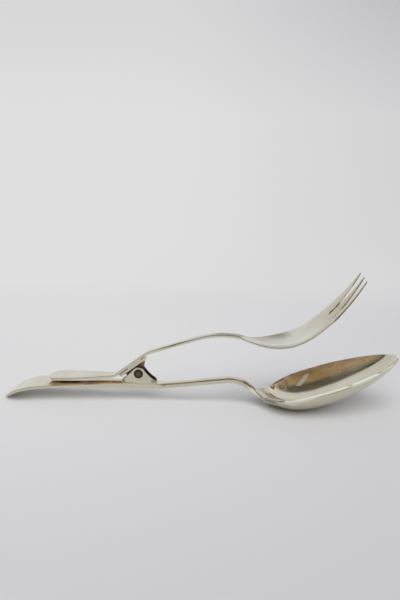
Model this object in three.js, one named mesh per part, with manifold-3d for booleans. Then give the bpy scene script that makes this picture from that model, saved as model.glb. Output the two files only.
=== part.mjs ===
// Scissor serving tongs: a serving spoon and a broad three-tined serving fork, each pressed from one
// strip of plated metal. A knuckle is soldered on each strip, and a rivet through both lets the fork
// tilt over the spoon. The fork's strip runs back over the spoon's handle as a thumb lever.
// Lengths are in millimetres and angles in degrees. While it is built the part stands with X towards
// the bowl, Z up and the rivet's axis along Y through zero; at the end it is set down on Z = 0 with
// the middle of its footprint at zero.

import * as THREE from 'three';
import Module from 'manifold-3d';
import { mergeVertices } from 'three/addons/utils/BufferGeometryUtils.js';

// Driving dimensions: the spoon
const HANDLE_FLAT_LENGTH = 50.0;
const HANDLE_EASE_BEND = 4.5;
const HANDLE_EASE_LENGTH = 10.0;
const HANDLE_SLOPE_LENGTH = 6.0;
const HANDLE_END_BEND = 38.6;
const HANDLE_END_LENGTH = 20.9;
const HANDLE_WIDTH = 24.4;
const HANDLE_WAIST_WIDTH = 20.4;
const HANDLE_WAIST_FROM_END = 28.0;
const HANDLE_NECK_WIDTH = 8.8;
const HANDLE_THICKNESS = 1.9;
const HANDLE_END_THICKNESS = 1.5;
const HANDLE_END_ROUND = 13.5;
const SPOON_STRIP_WIDTH = 6.8;
const SPOON_STRIP_THICKNESS = 3.1;
const SPOON_STEM_BEND = 7.2;
const SPOON_STEM_BEND_LENGTH = 5.0;
const SPOON_STEM_LENGTH = 37.74;
const SPOON_STEM_WIDTH = 5.8;
const SPOON_STEM_THICKNESS = 3.4;
const SPOON_CREST_BEND = 46.0;
const SPOON_CREST_LENGTH = 14.35;
const SPOON_HEEL_BEND = 57.4;
const SPOON_HEEL_LENGTH = 15.2;
const BOWL_RIM_LENGTH = 76.8;
const BOWL_WIDTH = 51.8;
const BOWL_DEPTH = 14.0;
const BOWL_WALL = 1.4;
const BELLY_WEAR_DEPTH = 0.3;

// Driving dimensions: the fork
const LEVER_SLOPE = 2.5;
const LEVER_LENGTH = 40.0;
const LEVER_WIDTH = 15.6;
const LEVER_WAIST_WIDTH = 14.2;
const LEVER_WAIST_FROM_END = 21.5;
const LEVER_THICKNESS = 1.3;
const LEVER_NECK_WIDTH = 7.8;
const LEVER_END_ROUND = 5.0;
const RAMP_SLOPE = 36.4;
const RAMP_BEND_LENGTH = 4.2;
const FORK_STRIP_WIDTH = 6.6;
const FORK_STRIP_THICKNESS = 1.7;
const FORK_STEM_BEND = 19.3;
const FORK_STEM_BEND_LENGTH = 5.8;
const FORK_STEM_LENGTH = 29.0;
const FORK_STEM_WIDTH = 4.4;
const FORK_STEM_THICKNESS = 2.3;
const FORK_CREST_BEND = 30.4;
const FORK_CREST_LENGTH = 28.1;
const FORK_HEEL_BEND = 22.9;
const FORK_HEEL_LENGTH = 21.2;
const FORK_BLADE_BEND = 29.4;
const FORK_BLADE_RUN_LENGTH = 21.9;
const FORK_TINE_BEND = 19.2;
const FORK_TINE_RUN_LENGTH = 41.4;
const BLADE_LENGTH = 88.0;
const BLADE_WIDTH = 40.8;
const BLADE_DISH = 2.5;
const BLADE_NECK_LENGTH = 18.0;
const BLADE_NECK_THICKNESS = 1.1;
const BLADE_THICKNESS = 1.0;
const TINE_LENGTH = 28.5;
const TINE_SPREAD = 28.4;
const TINE_TIP_WIDTH = 1.5;
const TINE_POINT_LENGTH = 2.2;
const SLOT_ROOT_WIDTH = 1.3;
const SLOT_EYE_DIAMETER = 4.4;

// Driving dimensions: the hinge
const PIN_DIAMETER = 3.0;
const PIN_HEAD_DIAMETER = 5.7;
const PIN_HEAD_HEIGHT = 0.7;
const PIN_TAIL_DIAMETER = 5.0;
const PIN_TAIL_HEIGHT = 0.6;
const PIN_TO_LOWER_PLATE = 4.45;
const PIN_TO_UPPER_PLATE = 4.75;
const PLATE_THICKNESS = 1.6;
const PLATE_WIDTH = 6.6;
const PLATE_CORNER_RADIUS = 1.3;
const PLATE_LENGTH_BEHIND = 10.6;
const LOWER_PLATE_LENGTH_AHEAD = 10.6;
const UPPER_PLATE_LENGTH_AHEAD = 8.9;
const EAR_THICKNESS = 1.0;
const EAR_TOP_RADIUS = 3.95;
const EAR_FOOT_INSET = 0.5;
const EAR_FOOT_HEIGHT = 1.05;
const LUG_THICKNESS = 0.9;
const LUG_END_RADIUS = 3.6;
const LUG_FOOT_INSET = 0.4;
const WASHER_THICKNESS = 0.3;
const WASHER_DIAMETER = 6.4;
const BUSH_DIAMETER = 4.6;

// Clearances and overlaps
const SOLDER_FILM = 0.05;
const SIDE_PLAY = 0.05;
const BORE_PLAY = 0.07;
const SEAT_MARGIN = 0.6;
const CUT_OVERRUN = 4.0;
const EDGE_RADIUS = 0.8;
const WELD_DISTANCE = 1e-4;
const LEAST_STEP = 0.05;

// Counts of facets
const ROUND_SEGMENTS = 40;
const HEAD_RINGS = 5;
const CORNER_STEPS = 2;
const DISH_COLUMNS = 12;
const OUTLINE_STEPS = 12;
const PLATE_CORNER_STEPS = 6;
const STRAIGHT_STEPS = 3;
const EDGE_CURVE_STEPS = 8;
const BEND_STEPS = 6;
const HEEL_STEPS = 10;
const TIP_STEPS = 20;
const END_STEPS = 7;
const BLADE_STEPS = 15;
const TINE_STEPS = 8;
const POINT_STEPS = 4;

const wasm = await Module();
wasm.setup();

// Materials
function metal(colour, roughness, metalness) {
  return new THREE.MeshStandardMaterial({ color: colour, roughness, metalness });
}

const silverPlate = () => metal(0xcbc7b6, 0.24, 1.0);
const paleSolderedSilver = () => metal(0xbdb8a4, 0.32, 1.0);
const darkRivetSteel = () => metal(0x54453a, 0.5, 0.9);
const hiddenBrass = () => metal(0xa58b55, 0.45, 1.0);

// Solids and meshes
function toSolid(geometry) {
  const bare = new THREE.BufferGeometry();
  bare.setAttribute('position', geometry.getAttribute('position'));
  if (geometry.index) bare.setIndex(geometry.index);
  const merged = mergeVertices(bare, WELD_DISTANCE);
  return new wasm.Manifold(new wasm.Mesh({
    numProp: 3,
    vertProperties: new Float32Array(merged.getAttribute('position').array),
    triVerts: new Uint32Array(merged.index.array),
  }));
}

function toGeometry(solid) {
  const mesh = solid.getMesh();
  const geometry = new THREE.BufferGeometry();
  geometry.setAttribute('position', new THREE.BufferAttribute(new Float32Array(mesh.vertProperties), 3));
  geometry.setIndex(new THREE.BufferAttribute(new Uint32Array(mesh.triVerts), 1));
  geometry.computeVertexNormals();
  return geometry;
}

function namedMesh(name, geometry, material) {
  const mesh = new THREE.Mesh(geometry, material);
  mesh.name = name;
  return mesh;
}

const HALF_TURN = 180;
const QUARTER_TURN = 90;

// A smooth curve through [place, value] rows that never overshoots them
function smoothCurve(rows) {
  const places = rows.map((row) => row[0]);
  const values = rows.map((row) => row[1]);
  const last = places.length - 1;
  const steps = places.slice(0, last).map((place, i) => places[i + 1] - place);
  const slopes = steps.map((step, i) => (values[i + 1] - values[i]) / step);
  const tangents = places.map((place, i) => {
    if (i === 0) return slopes[0];
    if (i === last) return slopes[last - 1];
    if (slopes[i - 1] * slopes[i] <= 0) return 0;
    const before = 2 * steps[i] + steps[i - 1];
    const after = steps[i] + 2 * steps[i - 1];
    return (before + after) / (before / slopes[i - 1] + after / slopes[i]);
  });
  return (place) => {
    if (place <= places[0]) return values[0];
    if (place >= places[last]) return values[last];
    const i = places.findIndex((next) => next > place) - 1;
    const t = (place - places[i]) / steps[i];
    const rise = values[i + 1] - values[i];
    const startTurn = tangents[i] * steps[i] - rise;
    const endTurn = rise - tangents[i + 1] * steps[i];
    return values[i] + t * rise + t * (1 - t) * ((1 - t) * startTurn + t * endTurn);
  };
}

// The line along a strip's underside in the XZ plane: runs of [length, turn], straight or round bends
function layRuns(start, heading, runs) {
  const marks = [{ place: 0, x: start.x, z: start.z, heading }];
  for (const [length, turn] of runs) {
    const from = marks.at(-1);
    from.length = length;
    from.turn = turn;
    marks.push({ ...alongRun(from, length), place: from.place + length });
  }
  const at = (place) => {
    const run = marks.slice(0, -1).findLast((mark) => mark.place <= place) ?? marks[0];
    return { place, ...alongRun(run, place - run.place) };
  };
  return { at, length: marks.at(-1).place, marks: marks.map((mark) => mark.place) };
}

// A path laid both ways from one seat; places behind the seat are negative
function layPath(seat, heading, runsAhead, runsBehind) {
  const ahead = layRuns(seat, heading, runsAhead);
  const behind = layRuns(seat, heading + HALF_TURN, runsBehind);
  const at = (place) => {
    if (place >= 0) return ahead.at(place);
    const back = behind.at(-place);
    return { ...back, heading: back.heading - HALF_TURN };
  };
  return { at, start: -behind.length, end: ahead.length, ahead: ahead.marks, behind: behind.marks };
}

function alongRun(run, distance) {
  const turned = (run.turn * distance) / run.length;
  const chordHeading = THREE.MathUtils.degToRad(run.heading + turned / 2);
  const halfTurn = THREE.MathUtils.degToRad(turned) / 2;
  const chord = halfTurn === 0 ? distance : (distance * Math.sin(halfTurn)) / halfTurn;
  return {
    x: run.x + chord * Math.cos(chordHeading),
    z: run.z + chord * Math.sin(chordHeading),
    heading: run.heading + turned,
  };
}

// One cross-section of a pressed strip: across it, a shallow arc of the given dish, with thickness laid
// off square to the arc and the two edges rounded. The rows run left to right above, then back below.
const EDGE_ROUND_SHARE = 0.84;

function crossSection({ halfWidth, dish, thickness }, columns) {
  const half = thickness / 2;
  const corner = Math.min(EDGE_RADIUS, Math.min(half, halfWidth / 2) * EDGE_ROUND_SHARE);
  const marks = [];
  for (let i = 0; i <= CORNER_STEPS; i += 1) {
    const angle = (Math.PI / 2) * (1 - i / CORNER_STEPS);
    marks.push([-halfWidth + corner * (1 - Math.sin(angle)), half - corner * (1 - Math.cos(angle))]);
  }
  const flat = halfWidth - corner;
  for (let i = 1; i < columns; i += 1) marks.push([-flat + (2 * flat * i) / columns, half]);
  const mirrored = marks.slice(0, CORNER_STEPS + 1).map(([across, up]) => [-across, up]).reverse();
  const top = [...marks, ...mirrored];
  const above = top.map(([across, up]) => bendAcross(across, up, halfWidth, dish));
  const below = top.map(([across, up]) => bendAcross(across, -up, halfWidth, dish)).reverse();
  return [...above, ...below].map(([across, up]) => [across, up + half]);
}

function bendAcross(across, up, halfWidth, dish) {
  if (dish === 0) return [across, up];
  const edgeAngle = 2 * Math.atan(dish / halfWidth);
  const radius = halfWidth / Math.sin(edgeAngle);
  const angle = (across / halfWidth) * edgeAngle;
  const reach = radius - up;
  return [reach * Math.sin(angle), radius - dish - reach * Math.cos(angle)];
}

// A solid swept along a path: one ring of points at each place, square to the path
function sweep(path, places, sectionAt) {
  const points = [];
  const triangles = [];
  const rings = places.map((place) => sectionAt(place));
  const count = rings[0].length;
  rings.forEach((ring, r) => {
    const { x, z, heading } = path.at(places[r]);
    const angle = THREE.MathUtils.degToRad(heading);
    for (const [across, up] of ring) {
      points.push(x - up * Math.sin(angle), across, z + up * Math.cos(angle));
    }
  });
  for (let r = 0; r + 1 < rings.length; r += 1) {
    for (let i = 0; i < count; i += 1) {
      const a = r * count + i;
      const b = r * count + ((i + 1) % count);
      triangles.push(a, a + count, b, b, a + count, b + count);
    }
  }
  const end = (rings.length - 1) * count;
  for (let i = 0; i + 1 < count / 2; i += 1) {
    const j = count - 1 - i;
    triangles.push(i, i + 1, j, i + 1, j - 1, j);
    triangles.push(end + i, end + j, end + i + 1, end + i + 1, end + j, end + j - 1);
  }
  const geometry = new THREE.BufferGeometry();
  geometry.setAttribute('position', new THREE.Float32BufferAttribute(points, 3));
  geometry.setIndex(triangles);
  return geometry;
}

function evenPlaces(from, to, steps) {
  return Array.from({ length: steps + 1 }, (_, i) => from + ((to - from) * i) / steps);
}

// Places that crowd towards a rounded end
function roundedPlaces(from, to, steps) {
  return evenPlaces(0, QUARTER_TURN, steps).map((angle) => {
    return lerp(from, to, Math.sin(THREE.MathUtils.degToRad(angle)));
  });
}

function joinPlaces(...lists) {
  const sorted = lists.flat().sort((a, b) => a - b);
  return sorted.filter((place, i) => i === 0 || place - sorted[i - 1] > LEAST_STEP);
}

// How far a rounded end, seen from above, has opened at a distance in from its tip
function roundedEndShare(distance, roundLength) {
  if (distance >= roundLength) return 1;
  const inward = 1 - Math.max(distance, 0) / roundLength;
  return Math.sqrt(1 - inward * inward);
}

function lerp(from, to, share) {
  return from + (to - from) * share;
}

function shareCurve(origin, length, size, shares) {
  return smoothCurve(shares.map(([place, share]) => [origin + length * place, size * share]));
}

// The spoon: handle, hinge seat, stem and bowl in one pressing
const SPOON_SEAT_AHEAD = LOWER_PLATE_LENGTH_AHEAD + SEAT_MARGIN;
const SPOON_SEAT_BEHIND = PLATE_LENGTH_BEHIND + SEAT_MARGIN;
const LOWER_SEAT_DEPTH = PIN_TO_LOWER_PLATE + PLATE_THICKNESS + SOLDER_FILM;

const spoonPath = layPath(
  { x: 0, z: -(LOWER_SEAT_DEPTH + SPOON_STRIP_THICKNESS) },
  0,
  [
    [SPOON_SEAT_AHEAD, 0],
    [SPOON_STEM_BEND_LENGTH, SPOON_STEM_BEND],
    [SPOON_STEM_LENGTH, 0],
    [SPOON_CREST_LENGTH, -SPOON_CREST_BEND],
    [SPOON_HEEL_LENGTH, SPOON_HEEL_BEND],
    [BOWL_RIM_LENGTH, 0],
  ],
  [
    [HANDLE_FLAT_LENGTH, 0],
    [HANDLE_EASE_LENGTH, HANDLE_EASE_BEND],
    [HANDLE_SLOPE_LENGTH, 0],
    [HANDLE_END_LENGTH, HANDLE_END_BEND],
  ],
);

const [, , STEM_START, CREST_START, HEEL_START, RIM_START] = spoonPath.ahead;
const BOWL_LENGTH = SPOON_HEEL_LENGTH + BOWL_RIM_LENGTH;

// Shares of half the bowl's width, from the neck to the tip, before the tip is rounded off
const BOWL_WIDTH_SHARES = [
  [0.04, 0.14], [0.094, 0.275], [0.148, 0.475], [0.203, 0.7], [0.26, 0.85], [0.317, 0.94],
  [0.375, 0.98], [0.433, 0.994], [0.49, 1], [0.83, 0.955], [1, 0.93],
];
const BOWL_TIP_ROUND_SHARE = 0.51;

// Shares of the bowl's depth below the rim
const BOWL_DEPTH_SHARES = [
  [0.03, 0], [0.09, 0.12], [0.13, 0.33], [0.195, 0.58], [0.25, 0.77], [0.31, 0.905], [0.44, 1],
  [0.576, 0.965], [0.713, 0.81], [0.845, 0.56], [0.928, 0.33], [0.979, 0.12], [1, 0.03],
];

const handleTip = spoonPath.start;
const spoonHalfWidth = smoothCurve([
  [handleTip, HANDLE_WIDTH / 2],
  [handleTip + HANDLE_END_ROUND, HANDLE_WIDTH / 2],
  [handleTip + HANDLE_WAIST_FROM_END, HANDLE_WAIST_WIDTH / 2],
  [-SPOON_SEAT_BEHIND, HANDLE_NECK_WIDTH / 2],
  [0, SPOON_STRIP_WIDTH / 2],
  [SPOON_SEAT_AHEAD, SPOON_STRIP_WIDTH / 2],
  [STEM_START, SPOON_STEM_WIDTH / 2],
  [HEEL_START, SPOON_STEM_WIDTH / 2],
]);
const bowlHalfWidth = shareCurve(HEEL_START, BOWL_LENGTH, BOWL_WIDTH / 2, BOWL_WIDTH_SHARES);
const bowlDish = shareCurve(HEEL_START, BOWL_LENGTH, BOWL_DEPTH, BOWL_DEPTH_SHARES);
const spoonThickness = smoothCurve([
  [handleTip, HANDLE_END_THICKNESS],
  [-HANDLE_FLAT_LENGTH, HANDLE_THICKNESS],
  [-SPOON_SEAT_BEHIND, SPOON_STRIP_THICKNESS],
  [0, SPOON_STRIP_THICKNESS],
  [SPOON_SEAT_AHEAD, SPOON_STRIP_THICKNESS],
  [CREST_START, SPOON_STEM_THICKNESS],
  [HEEL_START, SPOON_STEM_THICKNESS],
  [RIM_START, BOWL_WALL],
  [spoonPath.end, BOWL_WALL],
]);

function spoonSection(place) {
  const thickness = spoonThickness(place);
  const strip = spoonHalfWidth(place) * roundedEndShare(place - handleTip, HANDLE_END_ROUND);
  const tipRound = roundedEndShare(spoonPath.end - place, BOWL_LENGTH * BOWL_TIP_ROUND_SHARE);
  const bowl = place > HEEL_START ? bowlHalfWidth(place) * tipRound : 0;
  const halfWidth = Math.max(strip, bowl, thickness / 2);
  const dish = place > HEEL_START ? bowlDish(place) : 0;
  return crossSection({ halfWidth, dish, thickness }, DISH_COLUMNS);
}

function spoonPlaces() {
  return joinPlaces(
    roundedPlaces(handleTip + HANDLE_END_ROUND, handleTip, END_STEPS),
    evenPlaces(handleTip + HANDLE_END_ROUND, -HANDLE_FLAT_LENGTH, EDGE_CURVE_STEPS),
    evenPlaces(-HANDLE_FLAT_LENGTH, -SPOON_SEAT_BEHIND, STRAIGHT_STEPS),
    evenPlaces(-SPOON_SEAT_BEHIND, SPOON_SEAT_AHEAD, STRAIGHT_STEPS),
    evenPlaces(SPOON_SEAT_AHEAD, STEM_START, STRAIGHT_STEPS),
    evenPlaces(STEM_START, CREST_START, STRAIGHT_STEPS),
    evenPlaces(CREST_START, HEEL_START, BEND_STEPS),
    evenPlaces(HEEL_START, RIM_START, HEEL_STEPS),
    roundedPlaces(RIM_START, spoonPath.end, TIP_STEPS),
  );
}

// The fork: lever, ramp over the hinge, stem and tined blade in one pressing
const UPPER_SEAT_HEIGHT = PIN_TO_UPPER_PLATE + PLATE_THICKNESS + SOLDER_FILM;
const FORK_SEAT_AHEAD = UPPER_PLATE_LENGTH_AHEAD + SEAT_MARGIN;
const FORK_SEAT_BEHIND = PLATE_LENGTH_BEHIND + SEAT_MARGIN;
const rampAngle = THREE.MathUtils.degToRad(RAMP_SLOPE);

function onRamp(along, up) {
  return {
    x: along * Math.cos(rampAngle) - up * Math.sin(rampAngle),
    z: along * Math.sin(rampAngle) + up * Math.cos(rampAngle),
  };
}

const forkPath = layPath(
  onRamp(0, UPPER_SEAT_HEIGHT),
  RAMP_SLOPE,
  [
    [FORK_SEAT_AHEAD, 0],
    [FORK_STEM_BEND_LENGTH, -FORK_STEM_BEND],
    [FORK_STEM_LENGTH, 0],
    [FORK_CREST_LENGTH, -FORK_CREST_BEND],
    [FORK_HEEL_LENGTH, FORK_HEEL_BEND],
    [FORK_BLADE_RUN_LENGTH, FORK_BLADE_BEND],
    [FORK_TINE_RUN_LENGTH, FORK_TINE_BEND],
  ],
  [
    [FORK_SEAT_BEHIND, 0],
    [RAMP_BEND_LENGTH, LEVER_SLOPE - RAMP_SLOPE],
    [LEVER_LENGTH, 0],
  ],
);

const BLADE_START = forkPath.end - BLADE_LENGTH;
const TINE_ROOT = forkPath.end - TINE_LENGTH;
const [, , FORK_STEM_START, FORK_CREST_START] = forkPath.ahead;
const [, , LEVER_START] = forkPath.behind;

// Shares of half the blade's width, from the neck to the root of the slots
const BLADE_WIDTH_SHARES = [
  [0, 0.11], [0.1, 0.22], [0.17, 0.36], [0.31, 0.65], [0.45, 0.84], [0.6, 0.925], [0.75, 0.955],
  [0.9, 0.985], [1, 1],
];

// Shares of the blade's dish, from the neck to the tips
const BLADE_DISH_SHARES = [
  [0, 0], [0.1, 0.2], [0.2, 0.66], [0.3, 0.93], [0.4, 1], [0.55, 0.9], [0.7, 0.62], [0.85, 0.33], [1, 0.14],
];

const tineRootHalfWidth = (BLADE_WIDTH - 2 * SLOT_ROOT_WIDTH) / 6;
const tineRootSpread = 2 * tineRootHalfWidth + SLOT_ROOT_WIDTH;

// Half the width of every tine, and the outer tines' middle line, at a share of the way to the tips
function tineAt(place) {
  const share = (place - TINE_ROOT) / TINE_LENGTH;
  const point = roundedEndShare(forkPath.end - place, TINE_POINT_LENGTH);
  return {
    halfWidth: Math.max(lerp(tineRootHalfWidth, TINE_TIP_WIDTH / 2, share) * point, LEAST_STEP),
    middle: lerp(tineRootSpread, TINE_SPREAD / 2, share),
  };
}

const forkStripHalfWidth = smoothCurve([
  [forkPath.start, LEVER_WIDTH / 2],
  [forkPath.start + LEVER_END_ROUND, LEVER_WIDTH / 2],
  [forkPath.start + LEVER_WAIST_FROM_END, LEVER_WAIST_WIDTH / 2],
  [-LEVER_START, LEVER_NECK_WIDTH / 2],
  [-FORK_SEAT_BEHIND, FORK_STRIP_WIDTH / 2],
  [FORK_SEAT_AHEAD, FORK_STRIP_WIDTH / 2],
  [FORK_STEM_START, FORK_STRIP_WIDTH / 2],
  [FORK_CREST_START, FORK_STEM_WIDTH / 2],
  [BLADE_START, FORK_STEM_WIDTH / 2],
]);
const bladeHalfWidth = shareCurve(BLADE_START, TINE_ROOT - BLADE_START, BLADE_WIDTH / 2, BLADE_WIDTH_SHARES);
const bladeDish = shareCurve(BLADE_START, BLADE_LENGTH, BLADE_DISH, BLADE_DISH_SHARES);
const forkThickness = smoothCurve([
  [forkPath.start, LEVER_THICKNESS],
  [-LEVER_START, LEVER_THICKNESS],
  [-FORK_SEAT_BEHIND, FORK_STRIP_THICKNESS],
  [FORK_SEAT_AHEAD, FORK_STRIP_THICKNESS],
  [FORK_CREST_START, FORK_STEM_THICKNESS],
  [BLADE_START, FORK_STEM_THICKNESS],
  [BLADE_START + BLADE_NECK_LENGTH, BLADE_NECK_THICKNESS],
  [TINE_ROOT, BLADE_THICKNESS],
  [forkPath.end, BLADE_THICKNESS],
]);

function forkHalfWidth(place) {
  if (place >= TINE_ROOT) {
    const { middle, halfWidth } = tineAt(place);
    return middle + halfWidth;
  }
  if (place > BLADE_START) return Math.max(bladeHalfWidth(place), forkStripHalfWidth(place));
  return forkStripHalfWidth(place) * roundedEndShare(place - forkPath.start, LEVER_END_ROUND);
}

function forkSection(place) {
  const thickness = forkThickness(place);
  const halfWidth = Math.max(forkHalfWidth(place), thickness / 2);
  const dish = place > BLADE_START ? bladeDish(place) : 0;
  return crossSection({ halfWidth, dish, thickness }, DISH_COLUMNS);
}

function forkPlaces() {
  return joinPlaces(
    roundedPlaces(forkPath.start + LEVER_END_ROUND, forkPath.start, END_STEPS),
    evenPlaces(forkPath.start + LEVER_END_ROUND, -LEVER_START, EDGE_CURVE_STEPS),
    evenPlaces(-LEVER_START, -FORK_SEAT_BEHIND, STRAIGHT_STEPS),
    [-FORK_SEAT_BEHIND, FORK_SEAT_AHEAD],
    evenPlaces(FORK_SEAT_AHEAD, FORK_STEM_START, STRAIGHT_STEPS),
    evenPlaces(FORK_STEM_START, FORK_CREST_START, STRAIGHT_STEPS),
    evenPlaces(FORK_CREST_START, BLADE_START, BEND_STEPS),
    evenPlaces(BLADE_START, TINE_ROOT, BLADE_STEPS),
    evenPlaces(TINE_ROOT, forkPath.end - TINE_POINT_LENGTH, TINE_STEPS),
    roundedPlaces(forkPath.end - TINE_POINT_LENGTH, forkPath.end, POINT_STEPS),
  );
}

// A cutter for the slot between the middle tine and an outer one, with a round eye at its root
function slotCutter(side) {
  const eye = SLOT_EYE_DIAMETER / 2;
  const reach = BLADE_DISH + CUT_OVERRUN;
  const rootMiddle = tineRootHalfWidth + SLOT_ROOT_WIDTH / 2;
  const slotEdges = (place) => {
    const fromEye = place - TINE_ROOT;
    const round = Math.sqrt(Math.max(eye * eye - fromEye * fromEye, 0));
    if (fromEye <= 0) return [rootMiddle - round, rootMiddle + round];
    const { halfWidth, middle } = tineAt(Math.min(place, forkPath.end));
    return [Math.min(halfWidth, rootMiddle - round), Math.max(middle - halfWidth, rootMiddle + round)];
  };
  const places = joinPlaces(
    roundedPlaces(TINE_ROOT, TINE_ROOT - eye + LEAST_STEP, BEND_STEPS),
    evenPlaces(TINE_ROOT, TINE_ROOT + eye, BEND_STEPS),
    evenPlaces(TINE_ROOT + eye, forkPath.end - TINE_POINT_LENGTH, TINE_STEPS),
    roundedPlaces(forkPath.end - TINE_POINT_LENGTH, forkPath.end, POINT_STEPS),
    [forkPath.end + CUT_OVERRUN],
  );
  return sweep(forkPath, places, (place) => {
    const edges = slotEdges(place).map((edge) => side * edge).sort((a, b) => a - b);
    const [left, right] = edges;
    return [[left, reach], [right, reach], [right, -reach], [left, -reach]];
  });
}

function forkSolid() {
  const blank = toSolid(sweep(forkPath, forkPlaces(), forkSection));
  return [-1, 1].reduce((solid, side) => solid.subtract(toSolid(slotCutter(side))), blank);
}

// Hinge: widths stack up symmetrically across Y from the ears inward
const EAR_OUTER = PLATE_WIDTH / 2;
const EAR_INNER = EAR_OUTER - EAR_THICKNESS;
const WASHER_OUTER = EAR_INNER - SIDE_PLAY;
const WASHER_INNER = WASHER_OUTER - WASHER_THICKNESS;
const LUG_OUTER = WASHER_INNER - SIDE_PLAY;
const LUG_INNER = LUG_OUTER - LUG_THICKNESS;
const BUSH_HALF_LENGTH = LUG_INNER - SIDE_PLAY;
const BORE_RADIUS = PIN_DIAMETER / 2 + BORE_PLAY;

// An outline in the plane of the hinge, given as (along, up), extruded from one Y to another
function hingePlate(shape, from, to) {
  const geometry = new THREE.ExtrudeGeometry(shape, {
    depth: to - from, bevelEnabled: false, curveSegments: OUTLINE_STEPS,
  });
  geometry.rotateX(Math.PI / 2);
  geometry.translate(0, to, 0);
  return toSolid(geometry);
}

// A flat plate with rounded corners, seen from above, between two heights
function basePlate(behind, ahead, bottom) {
  const half = PLATE_WIDTH / 2;
  const corner = PLATE_CORNER_RADIUS;
  const shape = new THREE.Shape();
  shape.moveTo(-behind + corner, -half);
  shape.lineTo(ahead - corner, -half);
  shape.absarc(ahead - corner, -half + corner, corner, -Math.PI / 2, 0);
  shape.absarc(ahead - corner, half - corner, corner, 0, Math.PI / 2);
  shape.absarc(-behind + corner, half - corner, corner, Math.PI / 2, Math.PI);
  shape.absarc(-behind + corner, -half + corner, corner, Math.PI, (3 * Math.PI) / 2);
  const geometry = new THREE.ExtrudeGeometry(shape, {
    depth: PLATE_THICKNESS, bevelEnabled: false, curveSegments: PLATE_CORNER_STEPS,
  });
  geometry.translate(0, 0, bottom);
  return toSolid(geometry);
}

function onCircle(radius, angle) {
  return new THREE.Vector2(radius * Math.cos(angle), radius * Math.sin(angle));
}

function boreHole() {
  const hole = new THREE.Path();
  hole.absarc(0, 0, BORE_RADIUS, 0, 2 * Math.PI, true);
  return hole;
}

// An ear's outline: round over the pin, straight down behind, and swept out to a low foot ahead
const EAR_AHEAD_ANGLE = 38;
const EAR_SWEEP_SHARES = [0.68, 0.41];

function earShape() {
  const plateTop = -PIN_TO_LOWER_PLATE;
  const buried = plateTop - PLATE_THICKNESS / 2;
  const footBehind = -(PLATE_LENGTH_BEHIND - EAR_FOOT_INSET);
  const footAhead = LOWER_PLATE_LENGTH_AHEAD - EAR_FOOT_INSET - EAR_FOOT_HEIGHT;
  const footDistance = Math.hypot(footBehind, plateTop);
  const tangentAngle = Math.atan2(plateTop, footBehind) - Math.acos(EAR_TOP_RADIUS / footDistance);
  const aheadAngle = THREE.MathUtils.degToRad(EAR_AHEAD_ANGLE);
  const topAhead = onCircle(EAR_TOP_RADIUS, aheadAngle);
  const shape = new THREE.Shape();
  shape.moveTo(footBehind, buried);
  shape.lineTo(footAhead + EAR_FOOT_HEIGHT, buried);
  shape.lineTo(footAhead + EAR_FOOT_HEIGHT, plateTop);
  shape.lineTo(footAhead, plateTop + EAR_FOOT_HEIGHT);
  shape.quadraticCurveTo(
    footAhead * EAR_SWEEP_SHARES[0],
    plateTop * EAR_SWEEP_SHARES[1],
    topAhead.x,
    topAhead.y,
  );
  shape.absarc(0, 0, EAR_TOP_RADIUS, aheadAngle, tangentAngle);
  shape.lineTo(footBehind, plateTop);
  shape.holes.push(boreHole());
  return shape;
}

function lowerKnuckle() {
  const plate = basePlate(
    PLATE_LENGTH_BEHIND,
    LOWER_PLATE_LENGTH_AHEAD,
    -(PIN_TO_LOWER_PLATE + PLATE_THICKNESS),
  );
  return plate
    .add(hingePlate(earShape(), -EAR_OUTER, -EAR_INNER))
    .add(hingePlate(earShape(), EAR_INNER, EAR_OUTER));
}

// A lug's outline hangs from the upper plate: swept in from both feet to a round end about the pin
const LUG_SWEEP_ANGLE = -5;
const LUG_SWEEP_SHARES = [0.44, 0.32];

function lugShape() {
  const plateUnder = PIN_TO_UPPER_PLATE;
  const buried = plateUnder + PLATE_THICKNESS / 2;
  const foot = UPPER_PLATE_LENGTH_AHEAD - LUG_FOOT_INSET;
  const angle = THREE.MathUtils.degToRad(LUG_SWEEP_ANGLE);
  const reach = LUG_END_RADIUS * Math.cos(angle);
  const drop = LUG_END_RADIUS * Math.sin(angle);
  const shape = new THREE.Shape();
  shape.moveTo(foot, buried);
  shape.lineTo(-foot, buried);
  shape.lineTo(-foot, plateUnder);
  shape.quadraticCurveTo(-foot * LUG_SWEEP_SHARES[0], plateUnder * LUG_SWEEP_SHARES[1], -reach, drop);
  shape.absarc(0, 0, LUG_END_RADIUS, Math.PI - angle, 2 * Math.PI + angle);
  shape.quadraticCurveTo(foot * LUG_SWEEP_SHARES[0], plateUnder * LUG_SWEEP_SHARES[1], foot, plateUnder);
  shape.holes.push(boreHole());
  return shape;
}

function upperKnuckle() {
  return basePlate(PLATE_LENGTH_BEHIND, UPPER_PLATE_LENGTH_AHEAD, PIN_TO_UPPER_PLATE)
    .add(hingePlate(lugShape(), -LUG_OUTER, -LUG_INNER))
    .add(hingePlate(lugShape(), LUG_INNER, LUG_OUTER));
}

// The rivet: a domed head on the near ear, a plain shank and a spread tail on the far ear
function rivetGeometry() {
  const shank = PIN_DIAMETER / 2;
  const headSeat = -(EAR_OUTER + SIDE_PLAY);
  const tailSeat = EAR_OUTER + SIDE_PLAY;
  const profile = [
    ...domeProfile(PIN_HEAD_DIAMETER / 2, -PIN_HEAD_HEIGHT, headSeat),
    new THREE.Vector2(shank, headSeat),
    new THREE.Vector2(shank, tailSeat),
    ...domeProfile(PIN_TAIL_DIAMETER / 2, PIN_TAIL_HEIGHT, tailSeat).reverse(),
  ];
  return new THREE.LatheGeometry(profile, ROUND_SEGMENTS);
}

// Half a rivet head's outline from its crown on the axis to its rim on the seat
const HEAD_RIM_SHARE = 0.4;

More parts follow.
